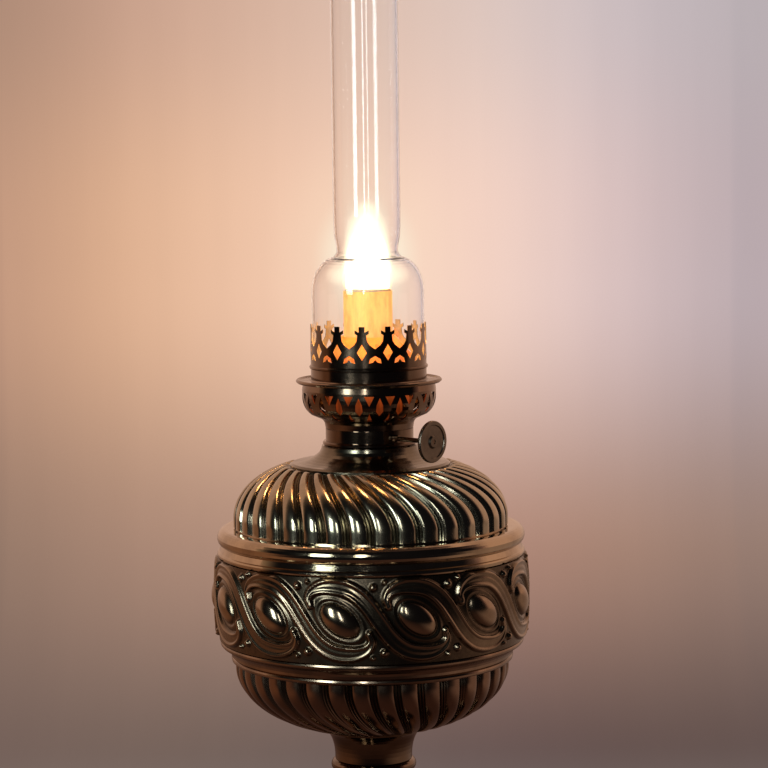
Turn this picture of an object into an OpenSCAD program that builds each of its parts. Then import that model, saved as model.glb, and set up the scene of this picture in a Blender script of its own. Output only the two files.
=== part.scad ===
// Round-wick oil lamp on a turned foot, with an embossed font, a side-wound
// burner, a pierced gallery and a shouldered glass chimney. Millimetres, +Z up,
// the origin on the lamp's axis at the surface it stands on.

/* [Foot and stem] */
// Diameter of the foot's rolled rim
foot_d = 158; // [120:1:180]
// Height of the foot above its pad
foot_h = 46; // [36:1:60]
// Thickness of the felt pad
pad_t = 2; // [1:0.5:4]
// Thickness of the plate that closes the foot
base_plate_t = 1.2; // [0.8:0.1:3]
// Height of the cast weight in the foot
weight_h = 14; // [8:1:18]
// Height of the lower column
column_h = 32; // [20:1:60]
// Waist radius of the lower column
column_r = 11; // [9:0.5:14]
// Height of the ring under the vase
lower_ring_h = 4; // [3:0.5:8]
// Height of the vase-shaped knop
vase_h = 36; // [24:1:60]
// Widest radius of the vase-shaped knop
vase_r = 26; // [22:0.5:34]
// Height of the ring over the vase
upper_ring_h = 6; // [4:0.5:10]
// Height of the trumpet under the font
trumpet_h = 15.6; // [12:0.2:24]
// Waist radius of the trumpet
trumpet_r = 18.3; // [16:0.1:20]
// Diameter of the tie rod
rod_d = 6; // [5:0.5:8]
// Width across the flats of the tie rod's nuts
nut_w = 10; // [9:0.5:13]
// Height of a tie rod nut
nut_h = 5; // [4:0.5:6]

/* [Font] */
// Thickness of the embossed sheet
sheet_t = 0.8; // [0.6:0.1:1.2]
// Height of the fluted bowl
bowl_h = 32.4; // [28:0.2:44]
// Radius of the bowl and of the dome at their rims
rim_r = 63.4; // [60:0.1:66]
// Radius of the bowl where it meets the stem
bowl_foot_r = 21.4; // [20:0.1:26]
// Height of the lower moulding
lower_moulding_h = 11; // [9:0.5:16]
// Height of the ornamented band
band_h = 39; // [34:1:50]
// Overhang of the band's ground over the bowl and the dome
band_step = 8.8; // [7:0.1:12]
// Bosses round the band
bosses = 13; // [10:1:14]
// Half-length of a boss
boss_l = 10.5; // [8:0.5:12]
// Half-width of a boss
boss_w = 6.5; // [5:0.5:7]
// Height of a boss over the band's ground
boss_h = 3.3; // [2:0.1:4]
// Fall of a boss from left to right, in degrees
boss_tilt = 38; // [20:1:50]
// Width of the ribbon that winds between the bosses
ribbon_w = 6.2; // [4:0.2:7]
// Height of the ribbon over the band's ground
ribbon_h = 1.5; // [0.6:0.1:2]
// Radius of a pearl at a ribbon's end
pearl_r = 1.7; // [1:0.1:2.2]
// Height of a pearl over the band's ground
pearl_h = 1.5; // [0.8:0.1:1.6]
// Turn of the first boss from the front, in degrees
band_turn = -11.5; // [-14:0.5:14]
// Height of the upper moulding
upper_moulding_h = 14; // [12:0.5:18]
// Height of the fluted dome
dome_h = 28.1; // [24:0.1:36]
// Radius of the dome's mouth
dome_mouth_r = 37.5; // [34:0.1:42]
// Number of flutes on the dome and on the bowl
flutes = 36; // [24:1:40]
// Depth of a flute
flute_depth = 1.3; // [0.6:0.1:2]
// Turn of a flute from its upright end at the rim to its other end, in degrees
flute_twist = 24; // [0:1:40]
// Height of the polished neck
neck_h = 9.6; // [8:0.1:16]
// Bore radius of the threaded collar
collar_bore_r = 19.6; // [18:0.1:22]
// Wall of the threaded collar
collar_wall = 1.8; // [1.2:0.1:2.4]
// Length of the threaded collar
collar_h = 12; // [9:0.5:14]
// Gap between the tank and the embossed sheet
tank_gap = 1.2; // [0.6:0.1:3]

// Overhang of the upper moulding's torus over the band's ground
torus_overhang = 0.4; // [0:0.1:2]

/* [Burner] */
// Height of the burner's flange
flange_h = 2; // [1.5:0.1:3]
// Radius of the burner's flange
flange_r = 22.1; // [21.8:0.1:26]
// Radius of the burner's drum
drum_r = 20.7; // [20.4:0.1:21.4]
// Height of the burner's drum
drum_h = 5.7; // [5.4:0.1:9]
// Sheet thickness of the burner's parts
burner_t = 0.6; // [0.4:0.1:0.8]
// Outer radius of the wick tube
wick_tube_r = 11.5; // [10:0.1:13]
// Sheet thickness of the wick tube and the air tube
tube_t = 0.5; // [0.3:0.1:0.6]
// Height of the wick tube's rim above the drum
wick_tube_h = 64.4; // [60:0.2:70]
// Thickness of the wick
wick_t = 1.8; // [1.4:0.1:2.2]
// Height of the lit wick above the tube's rim
wick_proud = 1; // [0:0.1:2]
// Length of the wick
wick_l = 144; // [130:1:150]
// Distance of the spindle from the lamp's axis
spindle_offset = 6.5; // [6:0.1:7]
// Direction of the spindle, in degrees from the front
spindle_azimuth = 49; // [20:1:70]
// Radius of the spindle
spindle_r = 1.1; // [0.8:0.1:1.3]
// Length of the spindle outside the drum
spindle_reach = 23.9; // [20:0.1:36]
// Diameter of the knob
knob_d = 19.4; // [16:0.2:21]
// Thickness of the knob's rim
knob_t = 1.8; // [1.6:0.1:3]
// Teeth on a star wheel
star_teeth = 10; // [8:1:14]

/* [Gallery] */
// Outer radius of the basket
basket_r = 31.5; // [29:0.1:33]
// Height of the basket
basket_h = 21.2; // [19:0.1:26]
// Sheet thickness of the gallery
gallery_t = 0.5; // [0.4:0.1:0.7]
// Openings round the basket
basket_arches = 20; // [14:1:22]
// Radius of the shade ring's rim
shade_ring_r = 34.3; // [33:0.1:38]
// Height of the crown above the shade ring
crown_h = 26; // [24:0.2:32]
// Prongs on the crown
crown_prongs = 14; // [10:1:16]
// Turn of the crown's first finial from the right-hand side, in degrees
crown_turn = 6.4; // [0:0.1:25]
// Height of the chimney's seat above the shade ring
seat_h = 7; // [6:0.1:8]

/* [Chimney] */
// Outer radius of the chimney's base
chimney_r = 26.4; // [25:0.1:27]
// Height of the chimney
chimney_h = 260; // [200:1:300]
// Height of the base up to the shoulder
chimney_base_h = 33.6; // [31:0.2:40]
// Height of the shoulder
shoulder_h = 16.4; // [14:0.2:22]
// Radius of the pinch above the shoulder
pinch_r = 14.4; // [13.5:0.1:15.5]
// Radius of the chimney's tube
flue_r = 15.8; // [15:0.1:18]
// Thickness of the glass
glass_t = 1.3; // [1:0.1:1.8]

/* [Clearances] */
// Gap between pieces of different bodies that rest on each other
rest_gap = 0.3; // [0.2:0.05:0.5]
// Radial clearance of the spindle in its bushes
spindle_clearance = 0.05; // [0.02:0.01:0.1]
// Gap of the wick in its tubes
wick_gap = 0.3; // [0.2:0.05:0.4]
// Clearance of the burner in the collar's bore
thread_clearance = 0.3; // [0.2:0.05:0.5]

/* [Hidden] */
round_fn = 96;
// the direction of the lamp's front
front_a = -90;

// heights of the joints between the stacked pieces
plate_z = pad_t;
foot_top_z = pad_t + foot_h;
column_top_z = foot_top_z + column_h;
lower_ring_top_z = column_top_z + lower_ring_h;
vase_top_z = lower_ring_top_z + vase_h;
upper_ring_top_z = vase_top_z + upper_ring_h;
font_z = upper_ring_top_z + trumpet_h;
bowl_top_z = font_z + bowl_h;
band_z = bowl_top_z + lower_moulding_h;
band_top_z = band_z + band_h;
dome_z = band_top_z + upper_moulding_h;
neck_z = dome_z + dome_h;
collar_top_z = neck_z + neck_h;
burner_z = collar_top_z + rest_gap;
drum_z = burner_z + flange_h;
drum_top_z = drum_z + drum_h;
gallery_z = drum_top_z + rest_gap;
shade_ring_z = gallery_z + basket_h;
shade_ring_h = 1.8;
crown_z = shade_ring_z + shade_ring_h;
crown_top_z = crown_z + crown_h;
seat_z = crown_z + seat_h;
chimney_z = seat_z + rest_gap;
wick_top_z = drum_top_z + wick_tube_h + wick_proud;

// radii shared by pieces that meet
rod_r = rod_d / 2;
column_top_r = 15;
vase_foot_r = 13.5;
vase_neck_r = 16;
stem_bore_r = rod_r + 1;
band_r = rim_r + band_step;
moulding_top_r = band_r + torus_overhang;
neck_foot_r = dome_mouth_r + 0.3;
collar_r = collar_bore_r + collar_wall;
neck_top_r = collar_r + 1.2;
spigot_r = collar_bore_r - thread_clearance;
spigot_bore_r = spigot_r - 1;
gallery_spigot_r = drum_r - burner_t - 0.5;
skirt_r = gallery_spigot_r - burner_t;
tube_bore_r = wick_tube_r - tube_t;
wick_outer_r = tube_bore_r - wick_gap;
wick_mean_r = wick_outer_r - wick_t / 2;
air_tube_r = wick_outer_r - wick_t - wick_gap;
crown_bore_r = chimney_r + rest_gap;
crown_r = crown_bore_r + gallery_t;

// the spindle and what it drives
bush_wall = 0.6;
bush_r = spindle_r + bush_wall;
spindle_z = drum_z + burner_t + bush_r + 0.1;
wick_flat_w = 13.5;
wick_flat_b = wick_t / 2 + 0.05;
wick_face = wick_flat_b + wick_t / 2;
star_tip_r = spindle_offset - wick_face - rest_gap;
drum_half_chord = sqrt(pow(drum_r, 2) - pow(spindle_offset, 2));
bush_in_s = drum_half_chord - 2.2;
bush_out_s = drum_half_chord + 4;
knob_s = drum_half_chord + spindle_reach;
star_s = 7;
star_w = 2;
guide_wall = 0.5;
guide_x = wick_flat_w + wick_t / 2 + wick_gap;
guide_y = wick_face + wick_gap;
travel_up = 6.4;
travel_down = 8;
wick_bend_z = spindle_z + star_tip_r + travel_down + 0.4;
wick_bend_h = 10;
tube_foot_z = wick_bend_z + wick_bend_h + travel_up + 1;
duct_w = 9;
duct_h = 8;
duct_z = tube_foot_z + 2.4;
wick_bottom_z = wick_top_z - wick_l;

// ---- shared shapes ----

// a point list along an ellipse's arc
function arc_points(c, rx, rz, a0, a1, n) =
    [for (i = [0:n]) let (a = a0 + (a1 - a0) * i / n) [c[0] + rx * cos(a), c[1] + rz * sin(a)]];

// the normal of a segment, towards its left
function left_normal(a, b) = let (d = (b - a) / norm(b - a)) [-d[1], d[0]];

// the mitred normal of a path at point i
function mitre(p, i) = let (
    n1 = left_normal(p[max(i - 1, 0)], p[max(i, 1)]),
    n2 = left_normal(p[min(i, len(p) - 2)], p[min(i + 1, len(p) - 1)]),
    m = (n1 + n2) / norm(n1 + n2)) m / max(0.6, m * n1);

// a path moved to its left by t
function inset(p, t) = [for (i = [0:len(p) - 1]) p[i] + t * mitre(p, i)];

// a closed outline from a path and its inset
function walled(p, t) = let (q = inset(p, t)) concat(p, [for (i = [len(q) - 1:-1:0]) q[i]]);

// an outline turned about the lamp's axis
module turned(points) {
    rotate_extrude($fn = round_fn)
        polygon(points);
}

// a sheet-metal shell spun from an outer path that runs upwards
module spun(path, t) {
    turned(walled(path, t));
}

// a plain ring
module ring(r, bore, z, h) {
    translate([0, 0, z])
        difference() {
            cylinder(r = r, h = h, $fn = round_fn);
            translate([0, 0, -1])
                cylinder(r = bore, h = h + 2, $fn = round_fn);
        }
}

// a prism that runs outwards from radius r0 to r1 in direction a, with its outline as it looks from
// outside: X to the right and Y up
module radial_prism(a, points, r0, r1) {
    rotate([0, 0, a + 90])
        translate([0, -r0, 0])
            rotate([90, 0, 0])
                linear_extrude(r1 - r0)
                    polygon(points);
}

// turns a child so that its X runs along the spindle and its Y towards the wick's spindle side
module at_spindle() {
    rotate([0, 0, spindle_azimuth - 90])
        mirror([0, 1, 0])
            children();
}

// height of the flute's relief at a phase from 0 to 1
flute_phases = [0, 0.17, 0.5, 0.83];
flute_heights = [0.35, -1, 0, -1];

// a fluted shell spun from an outer path that runs upwards: the flutes start upright at the rim,
// which is the path's first point or its last, and swirl more and more towards the other end
module fluted_shell(path, t, twist, fade, rim_first) {
    last = len(path) - 1;
    per_flute = len(flute_phases);
    n = flutes * per_flute;
    inner_path = inset(path, t + flute_depth);
    inner_rings = [last, round(last * 2 / 3), round(last / 3), 0];
    function swirl(i) = twist * pow(rim_first ? i / last : 1 - i / last, 2);
    function phase(k) = floor(k / per_flute) + flute_phases[k % per_flute];
    function flute_angle(i, k) = phase(k) * 360 / flutes + swirl(i);
    function around(q, a) = [q[0] * cos(a), q[0] * sin(a), q[1]];
    outer_points = [for (i = [0:last]) for (k = [0:n - 1])
        around(path[i] - mitre(path, i) * flute_depth * fade[i] * flute_heights[k % per_flute],
            flute_angle(i, k))];
    inner_points = [for (i = inner_rings) for (k = [0:n - 1]) around(inner_path[i], flute_angle(i, k))];
    total = last + 1 + len(inner_rings);
    faces = [for (i = [0:total - 1]) for (k = [0:n - 1]) let (
        a = i * n + k, b = i * n + (k + 1) % n,
        c = ((i + 1) % total) * n + (k + 1) % n, d = ((i + 1) % total) * n + k) each [[a, d, c], [a, c, b]]];
    polyhedron(points = concat(outer_points, inner_points), faces = faces, convexity = 8);
}

// ---- foot and stem ----

// The foot's profile from the floor up: a rolled rim, a small cove, a broad dome and a cove under
// the column.
foot_r = foot_d / 2;
foot_rim_r = 3;
foot_dome_z = plate_z + 13;
foot_dome_h = 17;
foot_cove_r = 5;
foot_cove_in = 8;
foot_dome_centre_r = column_top_r + 12;
foot_dome_rx = foot_r - foot_cove_in - foot_cove_r - 2 - foot_dome_centre_r;
top_cove_r = 11;
foot_path = concat(
    arc_points([foot_r - foot_rim_r, plate_z + foot_rim_r - 1], foot_rim_r, foot_rim_r, -90, 80, 8),
    arc_points([foot_r - foot_cove_in, foot_dome_z], foot_cove_r, foot_cove_r + 0.5, 270, 180, 5),
    arc_points([foot_dome_centre_r, foot_dome_z], foot_dome_rx, foot_dome_h, 0, 78, 10),
    arc_points([column_top_r + 2 + top_cove_r, foot_top_z - 2], top_cove_r, foot_h - foot_dome_h - 16,
        270, 180, 6),
    [[column_top_r + 2, foot_top_z]]);

module felt_pad() {
    color("darkgreen")
        ring(foot_r - 7, dish_r - 1, 0, pad_t);
}

// the plate is dished up round the tie rod, so that the nut under it clears the pad
dish_r = nut_w / sqrt(3) + 6;
dish_h = nut_h + 1;
dish_z = plate_z + dish_h;

module base_plate() {
    edge_r = foot_r - 5.2;
    t = base_plate_t;
    color("dimgray")
        turned([[rod_r, dish_z], [dish_r, dish_z], [dish_r, plate_z], [edge_r, plate_z],
            [edge_r, plate_z + t], [dish_r + t, plate_z + t], [dish_r + t, dish_z + t], [rod_r, dish_z + t]]);
}

module foot_weight() {
    z = plate_z + base_plate_t;
    bore_r = dish_r + base_plate_t + 5;
    color("#3a3a3a")
        turned([[bore_r, z], [foot_r - 22, z], [foot_r - 26, z + weight_h * 0.6],
            [foot_r - 34, z + weight_h], [bore_r, z + weight_h]]);
}

module foot_shell() {
    color("#6b5433")
        spun(foot_path, sheet_t);
}

// a column with a square fillet at each end and a hollow waist
module stem_column() {
    h = column_h;
    z = foot_top_z;
    end_r = column_top_r + 3.5;
    fillet_h = 2;
    waist_h = h - 2 * fillet_h;
    outer = concat([[end_r, z], [end_r, z + fillet_h]],
        arc_points([end_r, z + h / 2], end_r - column_r, waist_h / 2, 270, 90, 14),
        [[end_r, z + h]]);
    color("#6b5433")
        turned(concat(outer, [[stem_bore_r, z + h], [stem_bore_r, z]]));
}

// a rounded ring between two pieces of the stem
module stem_bead(r, z, h) {
    turned(concat([[stem_bore_r, z]], arc_points([r - h / 2, z + h / 2], h / 2, h / 2, -90, 90, 10),
        [[stem_bore_r, z + h]]));
}

module stem_lower_ring() {
    color("#7a6138")
        stem_bead(column_top_r + 5, column_top_z, lower_ring_h);
}

// a vase with a fillet and a cove under its belly and a fillet on its neck
module stem_vase() {
    z = lower_ring_top_z;
    fillet_h = 1.5;
    cove_r = 6;
    neck_fillet_h = 2;
    belly_share = 0.62;
    belly_rz = vase_h * (1 - belly_share) - 2 * neck_fillet_h;
    neck_step_r = vase_neck_r + 1.5;
    outer = concat([[vase_foot_r + 3, z], [vase_foot_r + 3, z + fillet_h]],
        arc_points([vase_foot_r + cove_r, z + 6], cove_r, 6 - fillet_h, 270, 180, 4),
        arc_points([vase_neck_r, z + vase_h * belly_share], vase_r - vase_neck_r, belly_rz, -60, 90, 12),
        [[vase_neck_r, z + vase_h - neck_fillet_h], [neck_step_r, z + vase_h - neck_fillet_h],
            [neck_step_r, z + vase_h]]);
    color("#6b5433")
        turned(concat(outer, [[stem_bore_r, z + vase_h], [stem_bore_r, z]]));
}

module stem_upper_ring() {
    color("#7a6138")
        stem_bead(trumpet_r + 1.9, vase_top_z, upper_ring_h);
}

module stem_trumpet() {
    z = upper_ring_top_z;
    flare = bowl_foot_r + 3.4 - trumpet_r;
    outer = concat([[trumpet_r, z]],
        arc_points([trumpet_r + flare, z + 1], flare, trumpet_h - 2, 180, 92, 10),
        [[trumpet_r + flare, font_z]]);
    color("#6b5433")
        turned(concat(outer, [[stem_bore_r, font_z], [stem_bore_r, z]]));
}

rod_foot_z = dish_z - nut_h - 0.5;
rod_top_z = font_z + sheet_t + 1.5 + nut_h + 2;

module tie_rod() {
    color("silver")
        translate([0, 0, rod_foot_z])
            cylinder(r = rod_r, h = rod_top_z - rod_foot_z, $fn = 48);
}

// one hexagon nut on the tie rod
module rod_nut(z) {
    translate([0, 0, z])
        difference() {
            cylinder(r = nut_w / sqrt(3), h = nut_h, $fn = 6);
            translate([0, 0, -1])
                cylinder(r = rod_r, h = nut_h + 2, $fn = 48);
        }
}

washer_z = font_z + sheet_t;
washer_t = 1.5;

module tie_rod_nuts() {
    color("silver") {
        rod_nut(dish_z - nut_h);
        rod_nut(washer_z + washer_t);
    }
}

module tie_rod_washer() {
    color("silver")
        ring(bowl_foot_r - 2, rod_r, washer_z, washer_t);
}

// ---- font ----

// how far the bowl's and the dome's ellipses are centred inside their small ends
bowl_centre_in = 12.6;
dome_centre_in = 14;
// straight sides below and above the fluted curves
bowl_side_h = 2.5;
dome_side_h = 4.6;
bowl_rx = rim_r - bowl_foot_r + bowl_centre_in;
dome_rx = rim_r - dome_mouth_r + dome_centre_in;
dome_end_a = acos(dome_centre_in / dome_rx);
bowl_path = concat(
    arc_points([bowl_foot_r - bowl_centre_in, bowl_top_z - bowl_side_h], bowl_rx, bowl_h - bowl_side_h,
        -acos(bowl_centre_in / bowl_rx), 0, 10),
    [[rim_r, bowl_top_z]]);
dome_path = concat([[rim_r, dome_z]],
    arc_points([dome_mouth_r - dome_centre_in, dome_z + dome_side_h], dome_rx,
        (dome_h - dome_side_h) / sin(dome_end_a), 0, dome_end_a, 10));

// how deep the flutes are at each point of the two paths
bowl_fade = [0, 0.5, 0.8, 1, 1, 1, 1, 1, 1, 1, 1, 0];
dome_fade = [0, 1, 1, 1, 1, 1, 1, 1, 1, 0.9, 0.6, 0];

module font_bowl() {
    color("#5d4a30")
        fluted_shell(bowl_path, sheet_t, flute_twist, bowl_fade, false);
}

module font_dome() {
    color("#5d4a30")
        fluted_shell(dome_path, sheet_t, -flute_twist, dome_fade, true);
}

// the mouldings are solid rings that take the rims of the shells on each side
seat_w = sheet_t + 2;
bead_r = 1.6;
lip_step = 3.3;

module lower_moulding() {
    z = bowl_top_z;
    h = lower_moulding_h;
    lip_r = rim_r + lip_step;
    outer_r = band_r - 0.4;
    lip = arc_points([lip_r - bead_r, z + bead_r], bead_r, bead_r, -90, 60, 5);
    cove = arc_points([outer_r - 0.4, z + 2 * bead_r], outer_r - lip_r - 0.4, h - 4 * bead_r, 180, 100, 5);
    bead = arc_points([outer_r - bead_r, z + h - bead_r], bead_r, bead_r, -80, 90, 6);
    back = [[outer_r - 4, z + h], [outer_r - 4, z + h - 2], [rim_r - seat_w, z + 3], [rim_r - seat_w, z]];
    color("#7a6138")
        turned(concat(lip, cove, bead, back));
}

module upper_moulding() {
    z = band_top_z;
    h = upper_moulding_h;
    torus_h = 4.2;
    step_h = 0.6;
    bead = arc_points([moulding_top_r - bead_r, z + bead_r], bead_r, bead_r, -90, 70, 6);
    torus = arc_points([moulding_top_r - torus_h, z + h - torus_h - step_h], torus_h, torus_h, -60, 90, 9);
    back = [[rim_r + 0.2, z + h - step_h], [rim_r + 0.2, z + h], [rim_r - seat_w, z + h],
        [rim_r - seat_w, z + h - 2], [moulding_top_r - 5.8, z + 3], [moulding_top_r - 5.8, z]];
    color("#7a6138")
        turned(concat(bead, torus, back));
}

// The band's ornament: bosses that lean over, and a ribbon that starts beside one boss, runs over it,
// passes down between it and the next, and ends under the next. Flat places on the drum are in
// millimetres to the right of a boss's middle and up from it.
boss_pitch = 360 / bosses;
half_pitch = PI * band_r / bosses;
boss_mid_z = band_z + band_h / 2 + 0.8;
band_barrel = 0.8;
band_path = [[band_r - band_barrel, band_z], [band_r, band_z + 3],
    [band_r + band_barrel, band_z + band_h / 2], [band_r, band_top_z - 3],
    [band_r - band_barrel, band_top_z]];

// the ribbon's middle line down to the gap between two bosses, as shares of half a pitch and of
// half the band's height, and the share of its full width there
ribbon_line = [for (p = [[-0.76, 0.34], [-0.83, 0.46], [-0.8, 0.6], [-0.66, 0.71], [-0.34, 0.79],
    [0.03, 0.79], [0.36, 0.68], [0.65, 0.45], [0.86, 0.18], [1.04, -0.045]])
    [p[0] * half_pitch, p[1] * band_h / 2]];
ribbon_share = [0.35, 0.5, 0.7, 0.85, 1, 1, 1, 1, 1, 1];
ribbon_side = [for (i = [0:len(ribbon_line) - 1]) ribbon_w / 2 * ribbon_share[i] * mitre(ribbon_line, i)];
ribbon_outline = concat(ribbon_line + ribbon_side,
    [for (i = [len(ribbon_line) - 1:-1:0]) ribbon_line[i] - ribbon_side[i]]);

// a flat outline on the drum, seen from the direction of its place x0, and lifted to the boss's middle
function seen_from(points, x0) = [for (p = points)
    [band_r * sin((p[0] - x0) * 180 / (PI * band_r)), p[1] + boss_mid_z]];

// one solid disc inside the band's outside, moved out by g
module band_disc(g) {
    turned(concat([[rim_r, band_z]], [for (p = band_path) p + [g, 0]], [[rim_r, band_top_z]]));
}

// every ribbon in two halves, of which one is the other turned upside down
module ribbon_halves() {
    x0 = 0.1 * half_pitch;
    turn = x0 / half_pitch * boss_pitch / 2;
    for (i = [0:bosses - 1]) {
        a = front_a + band_turn + i * boss_pitch;
        radial_prism(a + turn, seen_from(ribbon_outline, x0), band_r - 4, band_r + 4);
        radial_prism(a - turn, seen_from(-ribbon_outline, -x0), band_r - 4, band_r + 4);
    }
}

// a spindle-shaped boss, sunk so that its outline on the ground is an oval
module boss() {
    belly_r = (pow(boss_w, 2) + pow(boss_h, 2)) / (2 * boss_h);
    half_l = boss_l * belly_r / boss_w;
    translate([0, belly_r - boss_h - band_r - band_barrel, boss_mid_z])
        rotate([0, 90 + boss_tilt, 0])
            rotate_extrude($fn = 48)
                polygon(arc_points([0, 0], belly_r, half_l, -90, 90, 12));
}

// the pearl that a ribbon starts from, to the upper left of a boss, or the one that it ends in, to
// the lower right
module pearl(side) {
    rotate([0, 0, -side * 0.39 * boss_pitch])
        translate([0, pearl_r - pearl_h - band_r - band_barrel, boss_mid_z + side * 0.145 * band_h])
            sphere(r = pearl_r, $fn = 32);
}

module font_band() {
    color("#5d4a30")
        difference() {
            union() {
                band_disc(0);
                intersection() {
                    band_disc(ribbon_h);
                    ribbon_halves();
                }
                for (i = [0:bosses - 1])
                    rotate([0, 0, band_turn + i * boss_pitch]) {
                        boss();
                        pearl(1);
                        pearl(-1);
                    }
            }
            turned(concat([[band_r - 20, band_z - 1]], inset(band_path, sheet_t),
                [[band_r - 20, band_top_z + 1]]));
        }
}

neck_step_h = 0.8;
neck_path = concat([[neck_foot_r, neck_z], [neck_foot_r, neck_z + neck_step_h]],
    arc_points([neck_foot_r, collar_top_z], neck_foot_r - neck_top_r, neck_h - 2 * neck_step_h, 265, 182, 8),
    [[neck_top_r, collar_top_z]]);

module font_neck() {
    color("#6b5433")
        turned(concat(neck_path, [[collar_r, collar_top_z], [collar_r, collar_top_z - 2],
            [neck_top_r + 2, neck_z + 2], [neck_foot_r - 6, neck_z]]));
}

// the tank hangs from the collar, and its side and top follow the embossed shells
tank_t = 0.8;
tank_inset = sheet_t + flute_depth + tank_gap;
tank_r = rim_r - tank_inset;
tank_z = bowl_top_z - bowl_side_h;
tank_mouth_z = collar_top_z - collar_h;
tank_lid_z = tank_mouth_z + tank_t;
tank_top_path = concat(inset(dome_path, tank_inset), [[collar_r + 3, tank_lid_z], [collar_r, tank_lid_z]]);

module tank_floor() {
    color("#8a8a80")
        translate([0, 0, tank_z])
            cylinder(r = tank_r, h = tank_t, $fn = round_fn);
}

module tank_side() {
    color("#8a8a80")
        ring(tank_r, tank_r - tank_t, tank_z + tank_t, dome_z - tank_z - tank_t);
}

module tank_top() {
    color("#8a8a80")
        spun(tank_top_path, tank_t);
}

module font_collar() {
    color("#7a6138")
        ring(collar_r, collar_bore_r, collar_top_z - collar_h, collar_h);
}

// ---- burner ----

// the threaded spigot, the flange, the drum with the spindle in it, and the rim that takes the gallery
module burner_base() {
    foot_z = collar_top_z - collar_h + 3;
    rim_z = drum_top_z + 5.5;
    edge = 0.6;
    spigot = [[spigot_bore_r, foot_z], [spigot_r, foot_z], [spigot_r, burner_z]];
    flange = [[flange_r - edge, burner_z], [flange_r, burner_z + edge], [flange_r, drum_z - edge],
        [flange_r - edge, drum_z]];
    drum = [[drum_r, drum_z], [drum_r, drum_top_z], [gallery_spigot_r, drum_top_z]];
    rim = [[gallery_spigot_r, rim_z], [skirt_r, rim_z], [skirt_r, drum_top_z - burner_t]];
    inside = [[drum_r - burner_t, drum_top_z - burner_t], [drum_r - burner_t, drum_z + burner_t],
        [spigot_bore_r, drum_z + burner_t]];
    color("#54503c")
        difference() {
            turned(concat(spigot, flange, drum, rim, inside));
            at_spindle()
                translate([0, spindle_offset, spindle_z])
                    rotate([0, 90, 0])
                        cylinder(r = bush_r, h = drum_r + 5, $fn = 32);
        }
}

guide_z = collar_top_z - collar_h - 2;
guide_floor_z = collar_top_z - collar_h + 5;
guide_top_z = wick_bend_z - travel_down - 0.6;
star_slot_gap = 0.4;

module wick_guide() {
    color("#8c7a4c")
        difference() {
            union() {
                ring(spigot_bore_r, wick_flat_w * 0.5, guide_floor_z, 0.8);
                at_spindle()
                    translate([-guide_x - guide_wall, -guide_y - guide_wall, guide_z])
                        cube([2 * (guide_x + guide_wall), 2 * (guide_y + guide_wall), guide_top_z - guide_z]);
            }
            at_spindle() {
                translate([-guide_x, -guide_y, guide_z - 1])
                    cube([2 * guide_x, 2 * guide_y, guide_top_z - guide_z + 2]);
                for (s = [-star_s, star_s])
                    translate([s - star_w / 2 - star_slot_gap, guide_y - 1, spindle_z - star_tip_r])
                        cube([star_w + 2 * star_slot_gap, guide_wall + 2, star_tip_r * 2 + 2]);
            }
        }
}

// the wick tube stands on a skirt and draws in over it
draw_in_h = 13;

module wick_tube() {
    top_z = drum_top_z + wick_tube_h;
    skirt_top_z = tube_foot_z - draw_in_h;
    inner = [[tube_bore_r, top_z], [tube_bore_r, tube_foot_z], [skirt_r - tube_t - 0.6, skirt_top_z + 2],
        [skirt_r - tube_t, skirt_top_z], [skirt_r - tube_t, drum_top_z]];
    outer = [[skirt_r, drum_top_z], [skirt_r, skirt_top_z], [skirt_r - 0.6, skirt_top_z + 2.4],
        [wick_tube_r, tube_foot_z + 0.4], [wick_tube_r, top_z]];
    color("#a0762c")
        difference() {
            turned(concat(outer, inner));
            air_duct_space(0, tube_bore_r - 2, wick_tube_r + 1);
        }
}

// the space inside the air duct, grown by g, from radius r0 to r1 on the side away from the spindle
module air_duct_space(g, r0, r1) {
    rotate([0, 0, spindle_azimuth + 90])
        translate([r0, -duct_w / 2 - g, duct_z - g])
            cube([r1 - r0, duct_w + 2 * g, duct_h + 2 * g]);
}

module air_tube() {
    top_z = drum_top_z + wick_tube_h - 0.5;
    color("#8c7a4c")
        difference() {
            union() {
                translate([0, 0, tube_foot_z])
                    cylinder(r = air_tube_r, h = top_z - tube_foot_z, $fn = round_fn);
                intersection() {
                    air_duct_space(tube_t, air_tube_r - 3, wick_tube_r);
                    translate([0, 0, tube_foot_z])
                        cylinder(r = tube_bore_r, h = 20, $fn = round_fn);
                }
            }
            translate([0, 0, tube_foot_z + tube_t])
                cylinder(r = air_tube_r - tube_t, h = 60, $fn = round_fn);
            air_duct_space(0, 2, wick_tube_r + 1);
        }
}

// a bush on the spindle's line from s0 to s1
module bush(s0, s1) {
    at_spindle()
        translate([s0, spindle_offset, spindle_z])
            rotate([0, 90, 0])
                difference() {
                    cylinder(r = bush_r, h = s1 - s0, $fn = 32);
                    translate([0, 0, -1])
                        cylinder(r = spindle_r + spindle_clearance, h = s1 - s0 + 2, $fn = 32);
                }
}

module spindle_bushes() {
    color("#7a6138") {
        bush(bush_in_s, bush_out_s);
        intersection() {
            bush(-drum_half_chord - 1, -drum_half_chord + 4);
            cylinder(r = drum_r - burner_t, h = drum_top_z, $fn = round_fn);
        }
    }
}

module wick_spindle() {
    s0 = -drum_half_chord + 1.6;
    color("#7d7660")
        at_spindle()
            translate([s0, spindle_offset, spindle_z])
                rotate([0, 90, 0])
                    cylinder(r = spindle_r, h = knob_s + knob_t / 2 - s0, $fn = 32);
}

star_points = [for (i = [0:2 * star_teeth - 1]) let (a = i * 180 / star_teeth,
    r = i % 2 == 0 ? star_tip_r : star_tip_r * 0.72) [r * cos(a), r * sin(a)]];

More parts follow.
